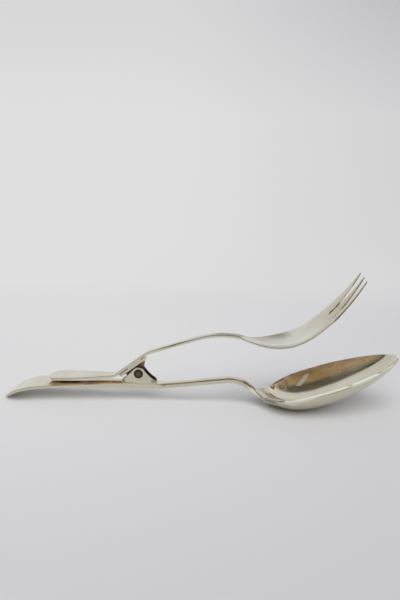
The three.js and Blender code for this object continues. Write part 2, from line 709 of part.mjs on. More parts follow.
function domeProfile(radius, height, seat) {
  const rim = seat + height * HEAD_RIM_SHARE;
  const crown = evenPlaces(0, Math.PI / 2, HEAD_RINGS).map((angle) => new THREE.Vector2(
    radius * Math.sin(angle),
    rim + height * (1 - HEAD_RIM_SHARE) * Math.cos(angle),
  ));
  crown[0].x = 0;
  return [...crown, new THREE.Vector2(radius, seat)];
}

function tubeGeometry(inner, outer, from, to) {
  const profile = [[inner, from], [outer, from], [outer, to], [inner, to], [inner, from]];
  return new THREE.LatheGeometry(profile.map(([radius, y]) => new THREE.Vector2(radius, y)), ROUND_SEGMENTS);
}

// Wear flats under the belly and the handle's end, where the spoon stands on a table
function wornOnTable(solid, tableHeight) {
  const { min, max } = solid.boundingBox();
  const length = max[0] - min[0] + 2 * CUT_OVERRUN;
  const slab = new THREE.BoxGeometry(length, BOWL_WIDTH + 2 * CUT_OVERRUN, CUT_OVERRUN);
  slab.translate((min[0] + max[0]) / 2, 0, tableHeight - CUT_OVERRUN / 2);
  return solid.subtract(toSolid(slab));
}

// Assembly
const spoonBlank = toSolid(sweep(spoonPath, spoonPlaces(), spoonSection));
const lowestPoint = spoonBlank.boundingBox().min[2];
const spoonSolid = wornOnTable(spoonBlank, lowestPoint + BELLY_WEAR_DEPTH);

const spoon = namedMesh('spoon', toGeometry(spoonSolid), silverPlate());
const lowerBracket = namedMesh('lower_knuckle', toGeometry(lowerKnuckle()), paleSolderedSilver());
const fork = namedMesh('fork', toGeometry(forkSolid()), silverPlate());
const upperBracket = namedMesh('upper_knuckle', toGeometry(upperKnuckle()), paleSolderedSilver());
upperBracket.rotation.y = -rampAngle;

const rivet = namedMesh('hinge_rivet', rivetGeometry(), darkRivetSteel());
const bush = namedMesh(
  'spacer_bush',
  tubeGeometry(BORE_RADIUS, BUSH_DIAMETER / 2, -BUSH_HALF_LENGTH, BUSH_HALF_LENGTH),
  hiddenBrass(),
);
const washers = [['near', -1], ['far', 1]].map(([word, side]) => {
  const ends = [side * WASHER_INNER, side * WASHER_OUTER].sort((a, b) => a - b);
  return namedMesh(`${word}_washer`, tubeGeometry(BORE_RADIUS, WASHER_DIAMETER / 2, ...ends), hiddenBrass());
});

const group = new THREE.Group();
group.name = 'scissor_serving_tongs';
group.add(spoon, lowerBracket, fork, upperBracket, rivet, bush, ...washers);

const box = new THREE.Box3().setFromObject(group, true);
const middle = box.getCenter(new THREE.Vector3());
group.position.set(-middle.x, -middle.y, -box.min.z);

export default group;
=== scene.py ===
"""Scissor serving tongs standing open on a pale table, seen from slightly above.

A serving spoon and a broad three-tined fork are joined by a riveted knuckle. Both are pressed
from plated strip, so each is swept here along the line of its underside. The finishes are worn
silver plate, duller plate over solder, a dark rivet and plain brass for the hidden rings. The silver
also carries painted highlights, reflections and shade, and the floor a painted pool of light.
Lengths in the outlines are millimetres from the rivet's axis and become metres in the scene.
"""

import logging
import math
from dataclasses import dataclass, field, replace
from enum import Enum
from typing import Callable, Sequence

import bmesh
import bpy
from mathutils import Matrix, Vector

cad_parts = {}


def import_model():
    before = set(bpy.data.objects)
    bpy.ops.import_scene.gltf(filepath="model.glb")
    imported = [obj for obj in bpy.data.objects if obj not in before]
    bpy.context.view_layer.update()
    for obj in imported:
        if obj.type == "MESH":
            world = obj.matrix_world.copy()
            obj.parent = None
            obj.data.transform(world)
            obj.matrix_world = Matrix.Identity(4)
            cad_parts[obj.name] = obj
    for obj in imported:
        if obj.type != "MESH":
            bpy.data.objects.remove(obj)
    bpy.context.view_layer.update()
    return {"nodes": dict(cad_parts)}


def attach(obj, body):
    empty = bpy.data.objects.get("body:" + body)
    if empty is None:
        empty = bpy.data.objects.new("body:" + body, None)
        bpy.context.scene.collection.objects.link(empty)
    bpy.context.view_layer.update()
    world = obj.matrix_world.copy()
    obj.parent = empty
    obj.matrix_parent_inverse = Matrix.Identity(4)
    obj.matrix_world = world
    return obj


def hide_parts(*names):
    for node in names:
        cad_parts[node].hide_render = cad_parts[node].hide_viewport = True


LOG = logging.getLogger("serving_tongs")

MM = 0.001
PIN_X = -34.288
PIN_Z = 18.102
UNDERSIDE = "underside"
MARGIN = "margin"

Pair = tuple[float, float]
Triple = tuple[float, float, float]
Section = list[Pair]
Curve = Callable[[float], float]
Colour = Triple
Settings = dict[str, object]
Values = dict[int | str, object]


def lerp(low: float, high: float, share: float) -> float:
    """Blend two numbers, with all of the second at share 1."""
    return low + (high - low) * share


def even(start: float, end: float, steps: int) -> list[float]:
    """Spread places evenly."""
    return [lerp(start, end, i / steps) for i in range(steps + 1)]


def crowded(start: float, end: float, steps: int) -> list[float]:
    """Spread places that crowd towards a rounded end."""
    return [lerp(start, end, math.sin(angle)) for angle in even(0, math.pi / 2, steps)]


def ordered(*lists: Sequence[float], least: float = 0.02) -> list[float]:
    """Join lists of places into one that only rises.

    Args:
        lists: The lists, which may share places.
        least: The smallest step to keep.

    Returns:
        The places in rising order.
    """
    places: list[float] = []
    for place in sorted(value for values in lists for value in values):
        if not places or place - places[-1] > least:
            places.append(place)
    return places


def stretches(marks: Sequence[float], steps: Sequence[int]) -> list[float]:
    """Spread places over stretches that follow one another."""
    return [place for low, high, count in zip(marks, marks[1:], steps) for place in even(low, high, count)]


def ramp(value: float, low: float, high: float) -> float:
    """Say how far a value has come between two bounds, from 0 to 1."""
    return min(max((value - low) / (high - low), 0.0), 1.0)


def smooth_curve(rows: Sequence[Pair]) -> Curve:
    """Draw a smooth curve through rows without overshooting them.

    Args:
        rows: Pairs of place and value, with the places rising.

    Returns:
        A function from place to value, level beyond both ends.
    """
    places = [row[0] for row in rows]
    values = [row[1] for row in rows]
    last = len(rows) - 1
    steps = [places[i + 1] - places[i] for i in range(last)]
    slopes = [(values[i + 1] - values[i]) / steps[i] for i in range(last)]

    def tangent(i: int) -> float:
        """Find the curve's slope at a row.

        Args:
            i: The row's number.

        Returns:
            The slope, level where the rows turn back.
        """
        if i == 0:
            return slopes[0]
        if i == last:
            return slopes[-1]
        if slopes[i - 1] * slopes[i] <= 0:
            return 0.0
        before = 2 * steps[i] + steps[i - 1]
        after = steps[i] + 2 * steps[i - 1]
        return (before + after) / (before / slopes[i - 1] + after / slopes[i])

    tangents = [tangent(i) for i in range(last + 1)]

    def value_at(place: float) -> float:
        """Read the curve.

        Args:
            place: Where to read it.

        Returns:
            The value there.
        """
        if place <= places[0]:
            return values[0]
        if place >= places[last]:
            return values[last]
        i = next(i for i in range(last) if places[i + 1] > place)
        t = (place - places[i]) / steps[i]
        rise = values[i + 1] - values[i]
        start_turn = tangents[i] * steps[i] - rise
        end_turn = rise - tangents[i + 1] * steps[i]
        return values[i] + t * rise + t * (1 - t) * ((1 - t) * start_turn + t * end_turn)

    return value_at


def opened(distance: float, length: float) -> float:
    """Say how far a rounded end has opened.

    Args:
        distance: How far in from the tip.
        length: How far the rounding reaches.

    Returns:
        The share of the full width, from 0 at the tip to 1.
    """
    if distance >= length:
        return 1.0
    inward = 1 - max(distance, 0.0) / length
    return math.sqrt(1 - inward * inward)


@dataclass(frozen=True)
class Station:
    """A spot on a strip's underside line, with the way the strip runs there in degrees."""

    place: float
    x: float
    z: float
    heading: float


@dataclass(frozen=True)
class Run:
    """A straight or evenly bent stretch of strip."""

    length: float
    turn: float = 0.0

    def follow(self, start: Station, distance: float) -> Station:
        """Walk along the run.

        Args:
            start: Where the run begins.
            distance: How far to walk.

        Returns:
            The station reached.
        """
        turned = self.turn * distance / self.length
        half = math.radians(turned) / 2
        chord = distance if half == 0 else distance * math.sin(half) / half
        way = math.radians(start.heading) + half
        return Station(
            start.place + distance,
            start.x + chord * math.cos(way),
            start.z + chord * math.sin(way),
            start.heading + turned,
        )


@dataclass
class StripPath:
    """The underside line of a strip, laid both ways from one seat. Places behind it are negative."""

    seat: Station
    ahead: Sequence[Run]
    behind: Sequence[Run]
    marks: list[Station] = field(init=False)
    back_marks: list[Station] = field(init=False)

    def __post_init__(self) -> None:
        """Lay the runs out both ways from the seat."""
        back = Station(0, self.seat.x, self.seat.z, self.seat.heading + 180)
        self.marks = self._lay(self.seat, self.ahead)
        self.back_marks = self._lay(back, self.behind)

    @staticmethod
    def _lay(start: Station, runs: Sequence[Run]) -> list[Station]:
        """Join runs end to end.

        Args:
            start: Where the first run begins.
            runs: The runs in order.

        Returns:
            The stations at both ends of every run.
        """
        marks = [start]
        for run in runs:
            marks.append(run.follow(marks[-1], run.length))
        return marks

    @property
    def start(self) -> float:
        """The place of the end behind the seat."""
        return -self.back_marks[-1].place

    @property
    def end(self) -> float:
        """The place of the end ahead of the seat."""
        return self.marks[-1].place

    def at(self, place: float) -> Station:
        """Find a station.

        Args:
            place: Distance along the line, negative behind the seat.

        Returns:
            The station there.
        """
        forward = place >= 0
        marks, runs = (self.marks, self.ahead) if forward else (self.back_marks, self.behind)
        reach = abs(place)
        i = max(i for i in range(len(runs)) if marks[i].place <= reach or i == 0)
        found = runs[i].follow(marks[i], reach - marks[i].place)
        heading = found.heading if forward else found.heading - 180
        return Station(place, found.x, found.z, heading)


@dataclass(frozen=True)
class Pressed:
    """The cross-section of a pressed strip: a shallow arc across with rounded or sloping edges."""

    half_width: float
    thickness: float
    dish: float = 0.0
    shoulder: float = 0.0
    edge_radius: float = 0.45
    round_share: float = 0.84
    shoulder_width: float = 2.7
    shoulder_share: float = 0.92
    shoulder_slope: float = 0.48
    shoulder_squareness: float = 1.8
    least_side: float = 0.3

    def ring(self, columns: int = 40, corner_steps: int = 6) -> Section:
        """Walk round the section.

        Args:
            columns: Steps across the flat part.
            corner_steps: Steps round a quarter of an edge.

        Returns:
            Points (across, up): left to right above, then back below.
        """
        half = self.thickness / 2
        corner = min(self.edge_radius, min(half, self.half_width / 2) * self.round_share)
        reach = min(self.shoulder_width, self.half_width * self.shoulder_share)
        drop = min(self.thickness - self.least_side, reach * self.shoulder_slope)
        top = self._side(
            columns, corner_steps, lerp(corner, drop / self.shoulder_slope, self.shoulder),
            lerp(corner, drop, self.shoulder), lerp(1.0, self.shoulder_squareness, self.shoulder),
        )
        bottom = self._side(columns, corner_steps, corner, corner, 1.0)
        above = [self._bend(across, half - fall) for across, fall in top]
        below = [self._bend(across, fall - half) for across, fall in reversed(bottom)]
        return [(across, up + half) for across, up in above + below]

    def _side(
        self, columns: int, corner_steps: int, reach: float, drop: float, squareness: float
    ) -> list[Pair]:
        """Draw one face of the flat section with its two edges.

        Args:
            columns: Steps across the flat part.
            corner_steps: Steps round an edge.
            reach: How far in the edge begins to fall.
            drop: How far it falls.
            squareness: 1 for a round edge, more for a flatter slope.

        Returns:
            Pairs of distance across and fall below the face, left to right.
        """
        left = [
            (
                reach * (1 - math.sin(a) ** squareness) - self.half_width,
                drop * (1 - math.cos(a) ** squareness),
            )
            for a in even(math.pi / 2, 0, corner_steps)
        ]
        flat = self.half_width - reach
        right = [(-across, fall) for across, fall in reversed(left)]
        return left + [(across, 0.0) for across in even(-flat, flat, columns)[1:-1]] + right

    def _bend(self, across: float, up: float) -> Pair:
        """Bend a point of the flat section round the dish.

        Args:
            across: Its distance from the middle line.
            up: Its height over the middle of the thickness.

        Returns:
            The bent point.
        """
        if self.dish == 0:
            return across, up
        edge_angle = 2 * math.atan(self.dish / self.half_width)
        radius = self.half_width / math.sin(edge_angle)
        angle = across / self.half_width * edge_angle
        reach = radius - up
        return reach * math.sin(angle), radius - self.dish - reach * math.cos(angle)


def to_scene(x: float, y: float, z: float) -> Vector:
    """Turn millimetres from the rivet's axis into scene metres."""
    return Vector(((x + PIN_X) * MM, y * MM, (z + PIN_Z) * MM))


def add_object(name: str, data: bpy.types.ID) -> bpy.types.Object:
    """Put a mesh, a lamp or a camera into the scene.

    Args:
        name: The object's name.
        data: What it holds.

    Returns:
        The linked object.
    """
    obj = bpy.data.objects.new(name, data)
    bpy.context.scene.collection.objects.link(obj)
    return obj


def mesh_object(name: str, points: Sequence[Vector], faces: Sequence[Sequence[int]]) -> bpy.types.Object:
    """Make an object from points and faces.

    Args:
        name: The object's name.
        points: Vertex positions in metres.
        faces: Vertex numbers of each face.

    Returns:
        The object, smooth where the surface is.
    """
    mesh = bpy.data.meshes.new(name)
    mesh.from_pydata(points, [], faces)
    obj = add_object(name, mesh)
    clean(obj)
    return obj


def clean(obj: bpy.types.Object, sharp: float = 38.0, weld: float = 2e-6) -> None:
    """Weld doubles, turn faces outwards and shade smooth except over sharp edges.

    Args:
        obj: The object to clean.
        sharp: Edges that turn more than this many degrees stay sharp.
        weld: Points closer than this many metres become one.
    """
    shape = bmesh.new()
    shape.from_mesh(obj.data)
    bmesh.ops.remove_doubles(shape, verts=shape.verts, dist=weld)
    bmesh.ops.dissolve_degenerate(shape, edges=shape.edges, dist=weld / 20)
    bmesh.ops.recalc_face_normals(shape, faces=shape.faces)
    for edge in shape.edges:
        edge.smooth = len(edge.link_faces) == 2 and edge.calc_face_angle(0.0) < math.radians(sharp)
    for face in shape.faces:
        face.smooth = True
    shape.to_mesh(obj.data)
    shape.free()


def ring_faces(rings: int, count: int, closed: bool = False) -> list[tuple[int, ...]]:
    """Join rings of points by four-sided faces.

    Args:
        rings: How many rings there are.
        count: The points in each ring.
        closed: Whether the last ring joins the first.

    Returns:
        The vertex numbers of each face.
    """
    faces: list[tuple[int, ...]] = []
    for r in range(rings if closed else rings - 1):
        low, high = r * count, (r + 1) % rings * count
        for i in range(count):
            j = (i + 1) % count
            faces.append((low + i, high + i, high + j, low + j))
    return faces


def sweep(
    name: str, path: StripPath, places: Sequence[float], section: Callable[[float], Section]
) -> bpy.types.Object:
    """Sweep a closed section along a path.

    Args:
        name: The new object's name.
        path: The line to follow.
        places: Where to put a ring.
        section: The ring's points at a place.

    Returns:
        A closed mesh object.
    """
    points: list[Vector] = []
    rings = [section(place) for place in places]
    count = len(rings[0])
    for place, ring in zip(places, rings):
        station = path.at(place)
        angle = math.radians(station.heading)
        for across, up in ring:
            points.append(to_scene(station.x - up * math.sin(angle), across, station.z + up * math.cos(angle)))
    faces = ring_faces(len(rings), count)
    end = (len(rings) - 1) * count
    for i in range(count // 2 - 1):
        j = count - 1 - i
        faces.append((i, i + 1, j - 1, j))
        faces.append((end + i, end + j, end + j - 1, end + i + 1))
    return mesh_object(name, points, faces)


def mark_underside(obj: bpy.types.Object, half_at: Curve) -> None:
    """Note on every vertex how far its surface looks down and how near the outline it lies.

    Args:
        obj: The object to mark.
        half_at: Half the object's width at a distance ahead of the rivet.
    """
    narrow, broad = 3.6, 5.1
    level, steep = 0.6, 0.85
    inner, outer = 0.8, 0.84
    under = obj.data.attributes.new(UNDERSIDE, "FLOAT", "POINT")
    margin = obj.data.attributes.new(MARGIN, "FLOAT", "POINT")
    for vertex in obj.data.vertices:
        half = half_at(vertex.co.x / MM - PIN_X)
        share = abs(vertex.co.y) / MM / half
        under.data[vertex.index].value = ramp(half, narrow, broad) * ramp(-vertex.normal.z, level, steep)
        margin.data[vertex.index].value = ramp(share, inner, outer)


def carve(obj: bpy.types.Object, cutters: Sequence[bpy.types.Object]) -> None:
    """Cut solids out of an object and drop them.

    Args:
        obj: The object to carve.
        cutters: Closed solids to take away.
    """
    for cutter in cutters:
        cut = obj.modifiers.new(cutter.name, "BOOLEAN")
        cut.operation = "DIFFERENCE"
        cut.solver = "EXACT"
        cut.object = cutter
    carved = bpy.data.meshes.new_from_object(obj.evaluated_get(bpy.context.evaluated_depsgraph_get()))
    obj.modifiers.clear()
    obj.data = carved
    for cutter in cutters:
        bpy.data.objects.remove(cutter)
    clean(obj)


def arc(radius: float, start: float, end: float, steps: int, centre: Pair = (0.0, 0.0)) -> Section:
    """Draw points round an arc, from one angle in degrees to another."""
    angles = [math.radians(angle) for angle in even(start, end, steps)]
    return [(centre[0] + radius * math.cos(a), centre[1] + radius * math.sin(a)) for a in angles]


def bowed(start: Pair, pull: Pair, end: Pair, steps: int) -> Section:
    """Draw points along a quadratic curve.

    Args:
        start: Where it begins.
        pull: The point that draws it aside.
        end: Where it ends.
        steps: How many steps lie between them.

    Returns:
        The points, both ends included.
    """
    points = []
    for t in even(0, 1, steps):
        a, b, c = (1 - t) ** 2, 2 * t * (1 - t), t * t
        points.append(tuple(a * p + b * q + c * r for p, q, r in zip(start, pull, end)))
    return points


def rounded_outline(behind: float, ahead: float, half: float, corner: float, steps: int = 8) -> Section:
    """Draw a rectangle with round corners.

    Args:
        behind: How far it reaches behind zero.
        ahead: How far it reaches ahead of zero.
        half: Half its width.
        corner: The corners' radius.
        steps: How many steps round a corner.

    Returns:
        The outline, counter-clockwise.
    """
    x, y = ahead - corner, half - corner
    return (
        arc(corner, -90, 0, steps, (x, -y))
        + arc(corner, 0, 90, steps, (x, y))
        + arc(corner, 90, 180, steps, (corner - behind, y))
        + arc(corner, 180, 270, steps, (corner - behind, -y))
    )


@dataclass(frozen=True)
class Tilt:
    """A frame about the rivet's axis, tilted up ahead by some degrees."""

    slope: float = 0.0

    def point(self, along: float, across: float, up: float) -> Vector:
        """Place a point of the tilted frame in the scene.

        Args:
            along: Towards the bowl.
            across: Away from the viewer.
            up: Square to along.

        Returns:
            The point in the scene.
        """
        angle = math.radians(self.slope)
        x = along * math.cos(angle) - up * math.sin(angle)
        z = along * math.sin(angle) + up * math.cos(angle)
        return to_scene(x, across, z)

    def upright(self, outline: Section, across: float) -> list[Vector]:
        """Stand an outline of along and up, so far from the viewer."""
        return [self.point(along, across, up) for along, up in outline]

    def level(self, outline: Section, up: float) -> list[Vector]:
        """Lay an outline of along and across at a height."""
        return [self.point(along, across, up) for along, across in outline]


def prism(
    name: str, low: Sequence[Vector], high: Sequence[Vector], bevel: float = 0.0, least_angle: float = 50.0
) -> bpy.types.Object:
    """Join two like outlines into a solid.

    Args:
        name: The object's name.
        low: One face's corners.
        high: The other face's corners.
        bevel: How far the sharp edges are rounded, in millimetres.
        least_angle: Edges that turn more than this many degrees are rounded.

    Returns:
        The solid.
    """
    count = len(low)
    sides = [(i, (i + 1) % count, count + (i + 1) % count, count + i) for i in range(count)]
    caps = [tuple(reversed(range(count))), tuple(range(count, 2 * count))]
    obj = mesh_object(name, [*low, *high], [*sides, *caps])
    if bevel > 0:
        shape = bmesh.new()
        shape.from_mesh(obj.data)
        sharp = [edge for edge in shape.edges if edge.calc_face_angle(0.0) > math.radians(least_angle)]
        bmesh.ops.bevel(
            shape, geom=sharp, offset=bevel * MM, segments=3, profile=0.5, affect="EDGES", clamp_overlap=True
        )
        shape.to_mesh(obj.data)
        shape.free()
        clean(obj)
    return obj


def lathe(name: str, profile: Sequence[Pair], steps: int = 64) -> bpy.types.Object:
    """Turn a profile about the rivet's axis.

    Args:
        name: The object's name.
        profile: Pairs of radius and distance across, closed or ending on the axis.
        steps: How many facets go round.

    Returns:
        The turned solid.
    """
    points = [
        to_scene(radius * math.cos(a), across, radius * math.sin(a))
        for radius, across in profile
        for a in even(0, 2 * math.pi, steps)[:-1]
    ]
    return mesh_object(name, points, ring_faces(len(profile), steps))


def merged(name: str, pieces: Sequence[bpy.types.Object]) -> bpy.types.Object:
    """Put several shells into one object.

    Args:
        name: The object's name.
        pieces: The objects to join, which are dropped.

    Returns:
        One object holding all shells.
    """
    shape = bmesh.new()
    for piece in pieces:
        shape.from_mesh(piece.data)
        bpy.data.objects.remove(piece)
    mesh = bpy.data.meshes.new(name)
    shape.to_mesh(mesh)
    shape.free()
    return add_object(name, mesh)


class Slot(Enum):
    """Material slots of the part's record."""

    SILVER = "silver_plate"
    KNUCKLE = "knuckle_silver"
    RIVET = "dark_rivet"


class Half(Enum):
    """The two bodies of the tongs."""

    SPOON = "spoon_half"
    FORK = "fork_half"


class Signal:
    """A number or colour that leaves a shader node, with arithmetic."""

    def __init__(self, graph: "Graph", socket: bpy.types.NodeSocket) -> None:
        """Wrap a node's output."""
        self.graph = graph
        self.socket = socket

    def _math(self, operation: str, *values: "Signal | float") -> "Signal":
        """Add a Math node."""
        return self.graph.add("ShaderNodeMath", {"operation": operation}, dict(enumerate(values)))

    def __add__(self, other: "Signal | float") -> "Signal":
        """Add another number."""
        return self._math("ADD", self, other)

    def __radd__(self, other: float) -> "Signal":
        """Add this to a plain number."""
        return self._math("ADD", other, self)

    def __sub__(self, other: "Signal | float") -> "Signal":
        """Take another number away."""
        return self._math("SUBTRACT", self, other)

    def __rsub__(self, other: float) -> "Signal":
        """Take this away from a plain number."""
        return self._math("SUBTRACT", other, self)

    def __mul__(self, other: "Signal | float") -> "Signal":
        """Multiply by another number."""
        return self._math("MULTIPLY", self, other)

    def __rmul__(self, other: float) -> "Signal":
        """Multiply a plain number by this."""
        return self._math("MULTIPLY", other, self)

    def lowest(self, other: "Signal | float") -> "Signal":
        """Take the lower of two numbers."""
        return self._math("MINIMUM", self, other)

    def highest(self, other: "Signal | float") -> "Signal":
        """Take the higher of two numbers."""
        return self._math("MAXIMUM", self, other)

    def size(self) -> "Signal":
        """Drop the sign."""
        return self._math("ABSOLUTE", self)

    def root(self) -> "Signal":
        """Take the square root."""
        return self._math("SQRT", self)

    def fade(self, low: float, high: float, start: float = 0.0, end: float = 1.0) -> "Signal":
        """Ease from one number to another while this one passes between two bounds.

        Args:
            low: Where the change begins.
            high: Where it ends.
            start: The number given at and below low.
            end: The number given at and above high.

        Returns:
            The eased number.
        """
        settings = {"interpolation_type": "SMOOTHSTEP"}
        values = {"Value": self, "From Min": low, "From Max": high, "To Min": start, "To Max": end}
        return self.graph.add("ShaderNodeMapRange", settings, values)


@dataclass
class Graph:
    """The node tree of one material or of the world."""

    tree: bpy.types.NodeTree

    def feed(self, node: bpy.types.Node, values: Values) -> None:
        """Set or link a node's inputs.

        Args:
            node: The node.
            values: Numbers, colours or signals by the input's name or number.
        """
        for key, value in values.items():
            if isinstance(value, Signal):
                self.tree.links.new(value.socket, node.inputs[key])
            else:
                node.inputs[key].default_value = value

    def node(self, kind: str, settings: Settings | None = None, values: Values | None = None) -> bpy.types.Node:
        """Add any node.

        Args:
            kind: The node's type.
            settings: Options set on the node before its inputs are touched.
            values: Numbers, colours or signals for its inputs.

        Returns:
            The node.
        """
        node = self.tree.nodes.new(kind)
        for name, option in (settings or {}).items():
            setattr(node, name, option)
        self.feed(node, values or {})
        return node

    def add(
        self, kind: str, settings: Settings | None = None, values: Values | None = None, output: int | str = 0
    ) -> Signal:
        """Add any node and hand back one of its outputs."""
        return Signal(self, self.node(kind, settings, values).outputs[output])

    def place(self) -> Signal:
        """Read the point being shaded, in the object's own metres."""
        return self.add("ShaderNodeTexCoord", output="Object")

    def noted(self, name: str) -> Signal:
        """Read a number that is noted on the mesh."""
        return self.add("ShaderNodeAttribute", {"attribute_name": name}, output="Fac")

    def parts(self, vector: Signal) -> tuple[Signal, Signal, Signal]:
        """Split a vector into its three numbers."""
        x, y, z = (Signal(self, out) for out in self.node("ShaderNodeSeparateXYZ", None, {0: vector}).outputs)
        return x, y, z

    def stretched(self, vector: Signal, scale: Triple) -> Signal:
        """Scale a vector by a factor for each axis."""
        return self.add("ShaderNodeVectorMath", {"operation": "MULTIPLY"}, {0: vector, 1: scale})

    def noise(self, vector: Signal, scale: float, detail: float = 3.0, rough: float = 0.5) -> Signal:
        """Add cloudy noise about one half, with so many clouds in a metre."""
        values = {"Vector": vector, "Scale": scale, "Detail": detail, "Roughness": rough}
        return self.add("ShaderNodeTexNoise", None, values)

    def cells(self, vector: Signal, scale: float) -> Signal:
        """Measure how far the nearest of many spots lies, in cells."""
        return self.add("ShaderNodeTexVoronoi", None, {"Vector": vector, "Scale": scale})

    def blend(self, share: "Signal | float", low: "Signal | Colour", high: "Signal | Colour") -> Signal:
        """Mix two colours.

        Args:
            share: How far to go from low to high.
            low: The colour at share 0.
            high: The colour at share 1.

        Returns:
            The mixed colour.
        """
        shown = [value if isinstance(value, Signal) else (*value, 1.0) for value in (low, high)]
        values = {0: share, 6: shown[0], 7: shown[1]}
        return self.add("ShaderNodeMix", {"data_type": "RGBA"}, values, output=2)

    def bump(self, height: Signal, strength: float, distance: float) -> Signal:
        """Turn a height from 0 to 1 into a bumped normal; the distance is in metres."""
        values = {"Height": height, "Strength": strength, "Distance": distance}
        return self.add("ShaderNodeBump", None, values)


class Face(Enum):
    """The faces that a patch of stain or painted light can be kept to."""

    BELOW = "below"
    SIDES = "sides"
    ABOVE = "above"


@dataclass(frozen=True)
class StainOrPaintedLight:
    """A soft-edged patch of another colour, in millimetres from the rivet's axis. Patches serve for
    real stains and for painted highlights, reflections and shade.

    After its middle, reach and colour come its cover, the softness of its edge and its mottle, each
    as a share. It leans along by so much for each millimetre across and rises by so much for each
    along. Film says how much of the metal's gloss it hides, and bare how much its clouds leave out.
    """

    centre: Triple
    reach: Triple
    colour: Colour
    cover: float = 0.9
    soft: float = 0.5
    mottle: float = 0.4
    lean: float = 0.0
    rise: float = 0.0
    grain: float = 700.0
    bare: float = 0.0
    film: float = 0.0
    face: Face | None = None
    cloud_band: Pair = (0.35, 0.6)

    def mask(self, graph: Graph, where: Signal) -> Signal:
        """Mark the patch.

        Args:
            graph: The node tree.
            where: The point being shaded.

        Returns:
            The patch's cover, from nothing to its full strength.
        """
        low, high = (bound + self.bare for bound in self.cloud_band)
        cloud = graph.noise(where, self.grain, detail=4.0, rough=0.7)
        covered = cloud.fade(low, high, 1.0 - self.mottle, 1.0) * self.cover
        middle = to_scene(*self.centre)
        along, across, up = (place - middle[i] for i, place in enumerate(graph.parts(where)))
        if self.rise != 0:
            up = up - along * self.rise
        if self.lean != 0:
            along = along - across * self.lean
        for offset, reach in zip((along, across, up), self.reach):
            limit = reach * MM
            covered = covered * offset.size().fade(limit * (1 - self.soft), limit, 1.0, 0.0)
        return covered


def new_material(name: str) -> tuple[bpy.types.Material, Graph, bpy.types.Node]:
    """Start a material.

    Args:
        name: Its name.

    Returns:
        The material, its graph and its main shader node.
    """
    material = bpy.data.materials.new(name)
    material.use_nodes = True
    shader = next(node for node in material.node_tree.nodes if node.type == "BSDF_PRINCIPLED")
    return material, Graph(material.node_tree), shader


def from_rivet(graph: Graph, where: Signal) -> Signal:
    """Measure how far a point lies from the rivet's axis.

    Args:
        graph: The node tree.
        where: The point being shaded.

    Returns:
        The distance in metres.
    """
    x, _, z = graph.parts(where)
    off_x = x - PIN_X * MM
    off_z = z - PIN_Z * MM
    return (off_x * off_x + off_z * off_z).root()


